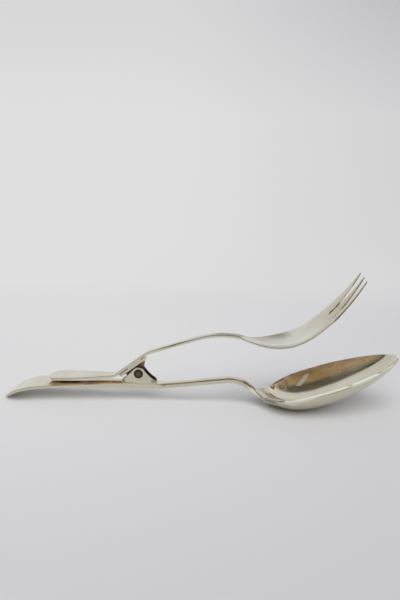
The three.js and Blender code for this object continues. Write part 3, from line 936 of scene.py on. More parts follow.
@dataclass(frozen=True)
class WornSilver:
    """Silver plate gone a little warm, with hairlines, faint clouds, tarnish spots, patina, painted shade on
    sideways faces, in recesses and at underside edges, and patches of stain and painted light.
    """

    name: str
    clean: Colour = (0.87, 0.845, 0.765)
    warm: Colour = (0.78, 0.735, 0.61)
    # Painted shade: the colour of faces that look sideways, darker and warmer than the top.
    side: Colour = (0.72, 0.685, 0.54)
    tarnish: Colour = (0.3, 0.19, 0.09)
    patina: Colour = (1.0, 0.73, 0.47)
    patina_dark: Colour = (0.7, 0.47, 0.28)
    # Near-black painted shade at a broad underside's rounded edge.
    underside_edge_shade: Colour = (0.07, 0.06, 0.045)
    patina_dull: float = 0.25
    patina_film: float = 0.12
    # Painted shade between a knuckle's walls, with its extent, cover, softness and dullness.
    recess_shade: Colour = (0.075, 0.05, 0.034)
    recess_half: float = 0.0
    recess_reach: float = 8.5
    recess_cover: float = 0.95
    recess_soft: Pair = (0.3, 1.5)
    recess_dull: float = 0.3
    roughness: float = 0.045
    haze: float = 0.05
    cloud_scale: float = 45.0
    cloud_band: Pair = (0.38, 0.72)
    grain_scale: float = 900.0
    grain_rough: float = 0.03
    hair_stretch: Triple = (90.0, 2600.0, 2600.0)
    scuff_stretch: Triple = (1500.0, 140.0, 700.0)
    scratch_shares: Triple = (0.6, 0.25, 0.15)
    scratch_strength: float = 0.12
    scratch_depth: float = 0.00003
    spot_amount: float = 0.3
    spot_scale: float = 260.0
    spot_size: Pair = (0.06, 0.2)
    spot_limit: float = 0.6
    spot_rough: float = 0.3
    rare_scale: float = 70.0
    rare_band: Pair = (0.56, 0.66)
    blotch_scale: float = 90.0
    blotch_band: Pair = (0.45, 0.62)
    side_band: Pair = (0.25, 0.85)
    top_band: Pair = (0.6, 0.85)
    overlay_dull: Pair = (0.12, 0.9)
    film_cover: float = 0.9
    least_metal: float = 0.05
    stains_and_painted_light: tuple[StainOrPaintedLight, ...] = ()

    def specks(self, graph: Graph, where: Signal) -> Signal:
        """Scatter tarnish spots over a few regions.

        Args:
            graph: The node tree.
            where: The point being shaded.

        Returns:
            The spots' cover.
        """
        spots = graph.cells(where, self.spot_scale).fade(*self.spot_size, 1.0, 0.0)
        rare = graph.noise(where, self.rare_scale, detail=2.0).fade(*self.rare_band)
        return (spots * rare * self.spot_amount).lowest(self.spot_limit)

    def scratches(self, graph: Graph, where: Signal, grain: Signal) -> Signal:
        """Lay hairlines along the metal and scuffs across it.

        Args:
            graph: The node tree.
            where: The point being shaded.
            grain: The finest noise.

        Returns:
            The bumped normal.
        """
        hairs, scuffs = (
            graph.noise(graph.stretched(where, stretch), 1.0, detail=2.0, rough=0.7)
            for stretch in (self.hair_stretch, self.scuff_stretch)
        )
        hair_share, scuff_share, grain_share = self.scratch_shares
        height = hairs * hair_share + scuffs * scuff_share + grain * grain_share
        return graph.bump(height, self.scratch_strength, self.scratch_depth)

    def recess_shade_mask(self, graph: Graph, where: Signal) -> Signal:
        """Mark the painted shade between a knuckle's walls.

        Args:
            graph: The node tree.
            where: The point being shaded.

        Returns:
            The painted shade's cover.
        """
        side_soft, end_soft = self.recess_soft
        half, reach = self.recess_half * MM, self.recess_reach * MM
        inside = graph.parts(where)[1].size().fade(half - side_soft * MM, half, self.recess_cover, 0.0)
        return inside * from_rivet(graph, where).fade(reach - end_soft * MM, reach, 1.0, 0.0)

    def make(self) -> bpy.types.Material:
        """Build the material.

        Returns:
            The material.
        """
        material, graph, shader = new_material(self.name)
        where = graph.place()
        clouds = graph.noise(where, self.cloud_scale, detail=4.0, rough=0.6)
        grain = graph.noise(where, self.grain_scale, rough=0.6)
        facing = graph.parts(graph.add("ShaderNodeTexCoord", output="Normal"))
        sideways = facing[1].size().fade(*self.side_band)
        colour = graph.blend(clouds.fade(*self.cloud_band), self.clean, self.warm)
        # Faces that look sideways take the side colour: painted shade.
        colour = graph.blend(sideways, colour, self.side)
        specks = self.specks(graph, where)
        colour = graph.blend(specks, colour, self.tarnish)
        under = graph.noted(UNDERSIDE)
        blotch = graph.noise(where, self.blotch_scale, detail=6.0, rough=0.85).fade(*self.blotch_band)
        patina = graph.blend(blotch, self.patina, self.patina_dark)
        # Broad undersides take brown patina, which turns near black by their outline as painted shade of the
        # rounded edge.
        colour = graph.blend(under, colour, graph.blend(graph.noted(MARGIN), patina, self.underside_edge_shade))
        dull = under * self.patina_dull
        film = under * self.patina_film
        if self.recess_half > 0:
            inside = self.recess_shade_mask(graph, where)
            # Painted shade between the knuckle's walls.
            colour = graph.blend(inside, colour, self.recess_shade)
            dull = dull + inside * self.recess_dull
        faces = {Face.BELOW: under, Face.SIDES: sideways, Face.ABOVE: facing[2].fade(*self.top_band)}
        # Patches of stain and of painted highlights, reflections and shade, each dulling the gloss by its film.
        for overlay in self.stains_and_painted_light:
            mask = overlay.mask(graph, where)
            mask = mask * faces[overlay.face] if overlay.face else mask
            colour = graph.blend(mask, colour, overlay.colour)
            dull = dull + mask * lerp(*self.overlay_dull, overlay.film)
            film = film + mask * overlay.film * self.film_cover
        graph.feed(shader, {
            "Base Color": colour,
            "Roughness": self.roughness + clouds * self.haze + specks * self.spot_rough
            + grain * self.grain_rough + dull,
            "Metallic": (1.0 - film).highest(self.least_metal),
            "Normal": self.scratches(graph, where, grain),
        })
        return material


# Pale matte film for painted highlights on the bowl's neck and rim.
PAINTED_HIGHLIGHT_PALE = (0.8, 0.78, 0.7)
# Warm orange for a painted reflection of the fork's brown underside over the bowl's far wall.
PAINTED_WARM_REFLECTION = (0.93, 0.66, 0.38)
# Amber and bronze for the painted shade and reflection on the handle under the lever.
HANDLE_AMBER = (0.44, 0.21, 0.05)
HANDLE_BRONZE = (0.33, 0.155, 0.045)
# Dark brown for painted reflection lines along the bowl's far rim.
LINE_BROWN = (0.12, 0.09, 0.06)
JOINT_BROWN = (0.22, 0.13, 0.06)
RAMP_BROWN = (0.16, 0.09, 0.04)
BURNT_BROWN = (0.13, 0.075, 0.035)
RAMP_RISE = 0.737

# Painted shade and reflection: the amber, bronze and near-black band on the handle's top under the lever, where
# the lever's shade and dark underside fall.
HANDLE_SHADE_UNDER_LEVER = (
    StainOrPaintedLight((-45.0, -4.0, -6.6), (12.5, 4.6, 2.4), HANDLE_AMBER, 0.95, 0.25, 0.3, film=1.0, face=Face.ABOVE),
    StainOrPaintedLight((-21.0, -2.6, -6.6), (14.5, 3.4, 2.4), HANDLE_BRONZE, 0.95, 0.3, 0.3, film=1.0, face=Face.ABOVE),
    StainOrPaintedLight((-12.0, -2.0, -6.2), (6.5, 2.4, 2.0), (0.2, 0.12, 0.05), 0.9, 0.4, 0.3, film=1.0, face=Face.ABOVE),
    StainOrPaintedLight((-43.6, -2.4, -6.6), (6.6, 2.2, 2.4), (0.13, 0.08, 0.045), 0.97, 0.12, 0.05, film=1.0),
)
# Painted reflection in the bowl's heel: the dark band and dark lines stand for the dark room mirrored there,
# and the brown patches partly for tarnish and partly for the fork's underside mirrored.
BOWL_BAND = (
    StainOrPaintedLight((81.0, 4.8, -14.2), (3.3, 1.9, 3.0), (0.33, 0.225, 0.11), 0.9, 0.2, 0.3, lean=-1.0, film=0.6),
    StainOrPaintedLight((84.2, 5.6, -14.7), (1.5, 2.5, 3.0), (0.06, 0.04, 0.02), 0.95, 0.4, 0.1, lean=-2.4, film=0.9),
    StainOrPaintedLight((86.5, 16.5, -9.8), (6.5, 5.0, 5.0), (0.42, 0.285, 0.155), 0.92, 0.4, 0.4),
    StainOrPaintedLight((87.6, 15.2, -11.8), (3.8, 2.3, 2.8), (0.1, 0.09, 0.07), 0.85, 0.6, 0.7, film=0.5),
)
BOWL_WARMTH = (
    StainOrPaintedLight((146.0, 0.0, 12.0), (15.0, 22.0, 16.0), (0.6, 0.55, 0.42), 0.4, 0.8, 0.4),
    StainOrPaintedLight((98.0, -9.0, -15.0), (15.0, 14.0, 5.0), (0.58, 0.55, 0.44), 0.4, 0.8, 0.4),
)
# A copper-brown spot with a painted highlight: the warm white patch in its middle.
COPPER_SPOT_AND_HIGHLIGHT = (
    StainOrPaintedLight((81.6, 12.5, -10.5), (1.6, 1.7, 2.0), (0.3, 0.11, 0.05), 0.97, 0.35, 0.1, film=0.7),
    StainOrPaintedLight((81.4, 13.1, -10.2), (0.75, 0.7, 0.8), (1.0, 0.9, 0.82), 0.97, 0.6, 0.0),
)
# Round the bowl's rim: a grey stroke inside the far wall, pale films as painted highlights over the near rim, a
# painted dark line below them, dark painted reflection lines along the far rim and a warm painted reflection
# over the far wall.
BOWL_RIM = (
    StainOrPaintedLight((100.6, 20.2, -7.9), (2.1, 3.4, 5.0), (0.5, 0.48, 0.42), 0.9, 0.5, 0.6, lean=1.04, film=0.8),
    StainOrPaintedLight((134.9, -20.7, 8.0), (2.6, 3.6, 6.0), PAINTED_HIGHLIGHT_PALE, 0.85, 0.2, 0.1, lean=2.6, film=0.8),
    StainOrPaintedLight((111.0, -25.6, -0.4), (15.5, 1.6, 1.5), PAINTED_HIGHLIGHT_PALE, 0.9, 0.25, 0.1, rise=0.36, film=0.8),
    StainOrPaintedLight((115.5, -25.2, 0.4), (11.5, 2.2, 0.34), (0.1, 0.085, 0.06), 0.9, 0.4, 0.3, rise=0.335, film=0.8),
    StainOrPaintedLight((85.8, 17.9, -8.1), (0.7, 4.6, 3.0), LINE_BROWN, 0.85, 0.5, 0.4, lean=1.14, film=0.8),
    StainOrPaintedLight((99.5, 23.2, -3.8), (12.5, 3.0, 0.45), LINE_BROWN, 0.8, 0.5, 0.5, rise=0.324, film=0.8),
    StainOrPaintedLight((117.0, 21.4, 1.5), (18.0, 4.6, 6.5), PAINTED_WARM_REFLECTION, 0.55, 0.7, 0.5, film=0.35),
    StainOrPaintedLight((137.0, 17.4, 7.2), (7.2, 5.6, 9.0), PAINTED_WARM_REFLECTION, 0.55, 0.7, 0.5, lean=-2.4, film=0.35),
)
# Painted highlights and reflections on the bowl's neck: pale films where the metal shows bright, dark lines
# where it mirrors the dark room.
BOWL_NECK = (
    StainOrPaintedLight((76.5, -7.6, -10.0), (4.0, 3.6, 4.0), PAINTED_HIGHLIGHT_PALE, 0.85, 0.3, 0.1, film=0.8),
    StainOrPaintedLight((75.9, 0.4, -11.7), (3.4, 3.6, 2.4), (0.86, 0.84, 0.78), 0.9, 0.4, 0.1, film=0.6),
    StainOrPaintedLight((70.2, -3.8, -8.3), (4.4, 2.2, 2.0), (0.68, 0.67, 0.57), 0.9, 0.5, 0.1, rise=-0.6, film=0.9),
    StainOrPaintedLight((67.3, -2.2, -5.0), (4.8, 0.85, 0.9), (0.08, 0.065, 0.04), 0.92, 0.35, 0.2, rise=-0.63, film=0.8),
    StainOrPaintedLight((73.5, -5.3, -9.1), (0.75, 3.5, 3.0), (0.16, 0.14, 0.09), 0.9, 0.3, 0.1, lean=-0.95, film=0.8),
    StainOrPaintedLight((80.6, -13.2, -10.2), (0.75, 5.6, 3.0), (0.2, 0.17, 0.11), 0.85, 0.3, 0.2, lean=-0.88, film=0.8),
    StainOrPaintedLight((93.0, -23.6, -6.2), (3.4, 2.6, 4.0), PAINTED_HIGHLIGHT_PALE, 0.85, 0.3, 0.1, lean=-1.2, film=0.7),
)
# Low on the belly, near the table, a warmer, darker painted reflection of the shaded table; a faint frost over
# the bowl; darker speckles inside the far wall.
BOWL_BELLY = (
    StainOrPaintedLight((105.0, -10.0, -17.0), (40.0, 16.0, 3.5), (0.6, 0.45, 0.26), 0.7, 0.7, 0.3),
    StainOrPaintedLight((112.0, 0.0, -8.0), (36.0, 24.0, 14.0), (0.5, 0.49, 0.45), 0.1, 0.3, 1.0, grain=1800.0, film=1.0),
    StainOrPaintedLight((117.0, 21.0, -1.0), (16.0, 6.0, 9.0), (0.3, 0.22, 0.14), 0.75, 0.6, 1.0, grain=1500.0, bare=0.12),
)
# A warmer tone over the blade, painted shade along the blade's far edge, a painted dark reflection line along
# the stem's top and painted shade on the lever's underside above the handle.
FORK_TONE_SHADE_AND_REFLECTION = (
    StainOrPaintedLight((130.0, 0.0, 46.0), (38.0, 26.0, 52.0), (0.55, 0.5, 0.36), 0.75, 0.75, 0.2, film=0.35),
    StainOrPaintedLight((84.0, 14.5, 22.0), (12.0, 10.0, 6.0), (0.36, 0.34, 0.25), 0.85, 0.9, 0.1),
    StainOrPaintedLight((57.0, -0.7, 25.9), (14.0, 1.3, 1.6), (0.22, 0.19, 0.13), 0.7, 0.6, 0.3, film=0.8),
    StainOrPaintedLight((-35.0, 0.0, -4.0), (22.0, 9.0, 3.0), (0.08, 0.045, 0.02), 0.95, 0.2, face=Face.BELOW),
)
# Painted shade on the tines' side walls, deepest at the slots' roots, with a reddish-brown patch on the near
# tine's wall.
TINE_SIDES = (
    StainOrPaintedLight((131.0, -12.0, 45.0), (12.0, 14.0, 40.0), (0.2, 0.16, 0.1), 0.85, 0.15, 0.4, face=Face.SIDES),
    StainOrPaintedLight((117.3, 9.0, 40.0), (3.4, 5.5, 12.0), (0.2, 0.12, 0.06), 0.9, 0.2, 0.2, face=Face.SIDES),
    StainOrPaintedLight((131.0, 12.0, 58.0), (4.2, 6.0, 12.0), (0.25, 0.2, 0.13), 0.85, 0.3, 0.3, face=Face.SIDES),
    StainOrPaintedLight((117.6, -20.0, 38.0), (3.2, 4.0, 12.0), (0.1, 0.075, 0.05), 0.9, 0.4, 0.3, face=Face.SIDES),
    StainOrPaintedLight((123.0, -17.0, 48.0), (1.8, 3.5, 10.0), (0.42, 0.2, 0.1), 0.85, 0.4, 0.3, face=Face.SIDES),
)
RAMP_JOINT = (
    StainOrPaintedLight((-9.9, -3.0, 0.62), (2.7, 1.5, 0.4), RAMP_BROWN, 0.9, 0.3, rise=RAMP_RISE, film=0.8),
    StainOrPaintedLight((2.7, -3.0, 9.9), (1.4, 1.5, 0.45), JOINT_BROWN, 0.8, 0.3, 0.7, rise=RAMP_RISE, film=0.8),
)
LOWER_JOINT = (
    StainOrPaintedLight((-9.3, -3.3, -4.6), (1.4, 1.5, 1.3), (0.3, 0.17, 0.06), 0.9, 0.6, film=0.5),
    StainOrPaintedLight((9.4, -3.3, -4.4), (2.2, 1.5, 1.5), JOINT_BROWN, 0.85, 0.6, 0.8, film=0.5),
)
UPPER_JOINT_AND_LUG_SHADE = (
    StainOrPaintedLight((-9.6, -3.0, -1.0), (2.6, 1.6, 0.4), BURNT_BROWN, 0.9, 0.3, rise=RAMP_RISE, film=0.8),
    StainOrPaintedLight((-12.1, -3.0, -1.8), (0.7, 1.6, 1.6), BURNT_BROWN, 0.9, 0.4, 0.3, film=0.8),
    # Painted shade: brown on the near lug, set back between the ears.
    StainOrPaintedLight((2.8, -1.9, 6.6), (1.7, 1.2, 2.8), (0.45, 0.26, 0.12), 0.85, 0.6, 0.6),
)
SOLDER_BURN = (
    StainOrPaintedLight((-9.4, -3.3, 1.0), (3.2, 1.5, 0.6), RAMP_BROWN, 0.9, 0.3, rise=RAMP_RISE, film=0.8),
    StainOrPaintedLight((3.0, -3.0, 10.1), (1.6, 1.5, 0.7), JOINT_BROWN, 0.8, 0.3, 0.7, rise=RAMP_RISE, film=0.8),
)

SPOON_SILVER = WornSilver(
    "spoon_silver",
    clean=(0.8, 0.77, 0.655),
    warm=(0.72, 0.68, 0.53),
    # Painted shade: the colour of the spoon's sideways faces.
    side=(0.68, 0.645, 0.5),
    stains_and_painted_light=(*HANDLE_SHADE_UNDER_LEVER, *BOWL_BAND, *BOWL_WARMTH, *COPPER_SPOT_AND_HIGHLIGHT, *BOWL_RIM, *BOWL_NECK, *BOWL_BELLY),
)
FORK_SILVER = WornSilver(
    "fork_silver",
    clean=(0.85, 0.82, 0.73),
    warm=(0.78, 0.74, 0.62),
    stains_and_painted_light=(*FORK_TONE_SHADE_AND_REFLECTION, *TINE_SIDES, *RAMP_JOINT),
)
LOWER_PLATE = WornSilver(
    "lower_knuckle_plate",
    clean=(0.82, 0.79, 0.69),
    warm=(0.7, 0.65, 0.52),
    roughness=0.2,
    haze=0.15,
    spot_amount=0.8,
    # Painted shade between the lower knuckle's ears.
    recess_half=2.75,
    recess_reach=12.5,
    stains_and_painted_light=LOWER_JOINT,
)
# The upper knuckle has painted shade between its lugs, narrower and shorter.
UPPER_PLATE = replace(
    LOWER_PLATE, name="upper_knuckle_plate", recess_half=2.4, recess_reach=8.5, stains_and_painted_light=UPPER_JOINT_AND_LUG_SHADE
)
SOLDER = WornSilver(
    "solder_bead",
    clean=(0.78, 0.75, 0.64),
    warm=(0.55, 0.48, 0.33),
    roughness=0.28,
    haze=0.25,
    spot_amount=1.0,
    stains_and_painted_light=SOLDER_BURN,
)


@dataclass(frozen=True)
class DarkRivet:
    """An oxidised rivet, worn paler on its crown."""

    name: str = "oxidised_rivet"
    dark: Colour = (0.04, 0.025, 0.018)
    pale: Colour = (0.17, 0.115, 0.075)
    crown_reach: Pair = (0.0006, 0.0021)
    crown_share: float = 0.7
    mottle_scale: float = 900.0
    mottle_band: Pair = (0.35, 0.7)
    roughness: float = 0.34
    roughness_spread: float = 0.25
    metal: float = 0.85
    pitting: float = 0.3
    pit_depth: float = 0.00005

    def make(self) -> bpy.types.Material:
        """Build the material.

        Returns:
            The material.
        """
        material, graph, shader = new_material(self.name)
        where = graph.place()
        crown = from_rivet(graph, where).fade(*self.crown_reach, 1.0, 0.0)
        mottle = graph.noise(where, self.mottle_scale, detail=4.0, rough=0.65).fade(*self.mottle_band)
        worn = crown * self.crown_share + mottle * (1 - self.crown_share)
        graph.feed(shader, {
            "Base Color": graph.blend(worn.lowest(1.0), self.dark, self.pale),
            "Roughness": self.roughness + mottle * self.roughness_spread,
            "Metallic": self.metal,
            "Normal": graph.bump(mottle, self.pitting, self.pit_depth),
        })
        return material


@dataclass(frozen=True)
class PlainBrass:
    """Turned brass for the rings inside the hinge, dulled and lightly pitted."""

    name: str = "turned_brass"
    clean: Colour = (0.65, 0.5, 0.26)
    dull: Colour = (0.3, 0.2, 0.09)
    cloud_scale: float = 500.0
    cloud_band: Pair = (0.35, 0.7)
    roughness: float = 0.28
    roughness_spread: float = 0.25
    pitting: float = 0.2
    pit_depth: float = 0.00004

    def make(self) -> bpy.types.Material:
        """Build the material.

        Returns:
            The material.
        """
        material, graph, shader = new_material(self.name)
        clouds = graph.noise(graph.place(), self.cloud_scale, detail=4.0, rough=0.6)
        graph.feed(shader, {
            "Base Color": graph.blend(clouds.fade(*self.cloud_band), self.clean, self.dull),
            "Roughness": self.roughness + clouds * self.roughness_spread,
            "Metallic": 1.0,
            "Normal": graph.bump(clouds, self.pitting, self.pit_depth),
        })
        return material


@dataclass(frozen=True)
class SweepPaper:
    """The matt paper of the floor and backdrop, with a painted pool of light that dims towards its edges, a
    painted falloff on the far backdrop and a faint mottle.
    """

    name: str = "sweep_paper"
    pale: Colour = (0.7, 0.698, 0.698)
    deep: Colour = (0.52, 0.52, 0.54)
    far_pale: Colour = (0.742, 0.74, 0.745)
    far_deep: Colour = (0.49, 0.487, 0.51)
    light_pool_centre: Triple = (-0.15, 0.1, 0.0)
    light_pool_edge: Pair = (0.06, 0.54)
    mottle_scale: float = 3.0
    floor_mottle: float = 0.06
    far_mottle: float = 0.04
    roughness: float = 0.9
    gloss: float = 0.1
    tooth_scale: float = 1200.0
    tooth: float = 0.05
    tooth_height: float = 0.0002
    aside_band: Pair = (-0.3, 0.7)
    aside_share: float = 0.5
    rise_start: float = 0.25
    rise_span: float = 0.27
    rise_share: float = 0.22
    rise_aside_share: float = 0.4
    far_band: Pair = (0.1, 0.42)

    def make(self) -> bpy.types.Material:
        """Build the material.

        Returns:
            The material.
        """
        material, graph, shader = new_material(self.name)
        where = graph.place()
        along, far, high = graph.parts(where)
        mottle = graph.noise(where, self.mottle_scale) - 0.5
        # Painted pool of light: the floor's colour dims from pale to deep away from the pool's middle.
        ends = {0: where, 1: self.light_pool_centre}
        edge = graph.add("ShaderNodeVectorMath", {"operation": "DISTANCE"}, ends, "Value").fade(*self.light_pool_edge)
        graph.feed(shader, {
            "Base Color": graph.blend(edge + mottle * self.floor_mottle, self.pale, self.deep),
            "Roughness": self.roughness,
            "Specular IOR Level": self.gloss,
            "Normal": graph.bump(graph.noise(where, self.tooth_scale), self.tooth, self.tooth_height),
        })
        # Painted falloff of light on the far backdrop, which glows for the camera and mirrors: darker to the
        # right and upwards.
        aside = along.fade(*self.aside_band)
        upward = ((high - self.rise_start) * (1 / self.rise_span)).highest(0.0).lowest(1.0)
        falloff = aside * self.aside_share + upward * (aside * self.rise_aside_share + self.rise_share)
        shown = graph.blend(falloff + mottle * self.far_mottle, self.far_pale, self.far_deep)
        glow = graph.add("ShaderNodeEmission", None, {"Color": shown})
        share = seen_directly(graph) * far.fade(*self.far_band)
        paper = Signal(graph, shader.outputs[0])
        surface = graph.add("ShaderNodeMixShader", None, {0: share, 1: paper, 2: glow})
        out = next(node for node in material.node_tree.nodes if node.type == "OUTPUT_MATERIAL")
        graph.feed(out, {"Surface": surface})
        return material


def seen_directly(graph: Graph) -> Signal:
    """Mark the rays that show the background: straight ones, mirrored ones and ones through glass.

    Args:
        graph: The node tree.

    Returns:
        One for those rays and zero for the rays that carry light.
    """
    rays = graph.node("ShaderNodeLightPath").outputs
    straight, mirrored, passed = (
        Signal(graph, rays[name]) for name in ("Is Camera Ray", "Is Glossy Ray", "Is Transmission Ray")
    )
    return straight.highest(mirrored).highest(passed)


def coat(obj: bpy.types.Object, material: bpy.types.Material) -> None:
    """Give an object one material."""
    obj.data.materials.clear()
    obj.data.materials.append(material)


def dress(obj: bpy.types.Object, material: bpy.types.Material, half: Half, slot: Slot, *nodes: str) -> None:
    """Give a piece its finish, its body and the nodes that it stands for, and report it.

    Args:
        obj: The piece.
        material: Its finish.
        half: The body that it moves with.
        slot: The record's material slot; not used.
        nodes: The nodes that it replaces.
    """
    coat(obj, material)
    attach(obj, half.value)
    if nodes:
        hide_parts(*nodes)
    LOG.info("%s: %d faces", obj.name, len(obj.data.polygons))


def half_widths(rows: Sequence[Pair]) -> Curve:
    """Draw a smooth curve of half widths through rows of place and full width."""
    return smooth_curve([(place, width / 2) for place, width in rows])


def spread(shares: Sequence[Pair], origin: float, length: float, size: float) -> Curve:
    """Turn a table of a place's and a size's shares into a curve in millimetres."""
    return smooth_curve([(origin + length * place, size * share) for place, share in shares])


@dataclass
class Spoon:
    """The spoon: handle, hinge seat, stem and bowl in one pressing."""

    seat_depth: float = 6.1
    seat_ahead: float = 11.2
    seat_behind: float = 11.2
    strip_width: float = 6.8
    strip_thickness: float = 3.1
    stem_bend: Run = Run(5.0, 7.2)
    stem_length: float = 37.74
    stem_width: float = 5.8
    stem_thickness: float = 3.4
    crest_bend: Run = Run(14.35, -46.0)
    handle_flat: float = 50.0
    handle_bends: tuple[Run, ...] = (Run(10.0, 4.5), Run(6.0), Run(20.9, 38.6))
    handle_width: float = 24.4
    handle_waist_width: float = 20.4
    handle_waist_from_end: float = 28.0
    handle_neck_width: float = 8.8
    handle_thickness: float = 1.9
    handle_end_thickness: float = 1.5
    handle_end_round: float = 13.5
    heel_length: float = 15.2
    heel_turn: float = 57.4
    rim_length: float = 76.8
    bowl_width: float = 51.8
    bowl_depth: float = 14.0
    bowl_wall: float = 1.4
    tip_round_share: float = 0.51
    shoulder_start: float = 6.0
    shoulder_end: Pair = (3.0, 12.0)
    table_height: float = -18.1019
    end_steps: tuple[int, int] = (16, 60)
    steps: tuple[int, ...] = (18, 24, 8, 12, 20, 26)
    width_shares: tuple[Pair, ...] = (
        (0.04, 0.14), (0.094, 0.275), (0.148, 0.475), (0.203, 0.7), (0.26, 0.85), (0.317, 0.94),
        (0.375, 0.98), (0.433, 0.994), (0.49, 1), (0.83, 0.955), (1, 0.93),
    )
    depth_shares: tuple[Pair, ...] = (
        (0.03, 0), (0.09, 0.12), (0.13, 0.33), (0.195, 0.58), (0.25, 0.77), (0.31, 0.905), (0.44, 1),
        (0.576, 0.965), (0.713, 0.81), (0.845, 0.56), (0.928, 0.33), (0.979, 0.12), (1, 0.03),
    )

    def __post_init__(self) -> None:
        """Lay the spoon's line and draw its sizes along it."""
        seat = Station(0, 0, -(self.seat_depth + self.strip_thickness), 0)
        ahead = (
            Run(self.seat_ahead), self.stem_bend, Run(self.stem_length), self.crest_bend,
            Run(self.heel_length, self.heel_turn), Run(self.rim_length),
        )
        self.path = StripPath(seat, ahead, (Run(self.handle_flat), *self.handle_bends))
        self.stem_start, self.crest_start, self.heel_start, self.rim_start = (
            mark.place for mark in self.path.marks[2:6]
        )
        self.bowl_length = self.heel_length + self.rim_length
        tip = self.path.start
        self.strip_half = half_widths([
            (tip, self.handle_width),
            (tip + self.handle_end_round, self.handle_width),
            (tip + self.handle_waist_from_end, self.handle_waist_width),
            (-self.seat_behind, self.handle_neck_width),
            (0, self.strip_width),
            (self.seat_ahead, self.strip_width),
            (self.stem_start, self.stem_width),
            (self.heel_start, self.stem_width),
        ])
        self.bowl_half = spread(self.width_shares, self.heel_start, self.bowl_length, self.bowl_width / 2)
        self.bowl_dish = spread(self.depth_shares, self.heel_start, self.bowl_length, self.bowl_depth)
        self.thickness = smooth_curve([
            (tip, self.handle_end_thickness),
            (-self.handle_flat, self.handle_thickness),
            (-self.seat_behind, self.strip_thickness),
            (0, self.strip_thickness),
            (self.seat_ahead, self.strip_thickness),
            (self.crest_start, self.stem_thickness),
            (self.heel_start, self.stem_thickness),
            (self.rim_start, self.bowl_wall),
            (self.path.end, self.bowl_wall),
        ])
        full, gone = self.shoulder_end
        self.shoulder = smooth_curve([
            (self.seat_ahead, 0),
            (self.stem_start + self.shoulder_start, 1),
            (self.heel_start + full, 1),
            (self.heel_start + gone, 0),
        ])

    def section(self, place: float) -> Section:
        """Draw the spoon's section.

        Args:
            place: Where along the path.

        Returns:
            The ring of points.
        """
        thickness = self.thickness(place)
        strip = self.strip_half(place) * opened(place - self.path.start, self.handle_end_round)
        bowl, dish = 0.0, 0.0
        if place > self.heel_start:
            tip_round = opened(self.path.end - place, self.bowl_length * self.tip_round_share)
            bowl = self.bowl_half(place) * tip_round
            dish = self.bowl_dish(place)
        half = max(strip, bowl, thickness / 2)
        return Pressed(half, thickness, dish, self.shoulder(place)).ring()

    def places(self) -> list[float]:
        """List where the rings stand.

        Returns:
            The places, closer together on bends and round ends.
        """
        tip, round_end = self.path.start, self.path.start + self.handle_end_round
        marks = (
            round_end, -self.handle_flat, self.seat_ahead, self.stem_start, self.crest_start,
            self.heel_start, self.rim_start,
        )
        return ordered(
            crowded(round_end, tip, self.end_steps[0]),
            stretches(marks, self.steps),
            crowded(self.rim_start, self.path.end, self.end_steps[1]),
        )

    def build(self) -> bpy.types.Object:
        """Build the spoon.

        Returns:
            The spoon, worn flat where it stands on the table.
        """
        spoon = sweep("spoon_pressing", self.path, self.places(), self.section)
        for vertex in spoon.data.vertices:
            vertex.co.z = max(vertex.co.z, (self.table_height + PIN_Z) * MM)
        return spoon

    def dress(self) -> None:
        """Build the spoon and give it its worn silver with painted highlights, reflections and shade."""
        dress(self.build(), SPOON_SILVER.make(), Half.SPOON, Slot.SILVER, "spoon")


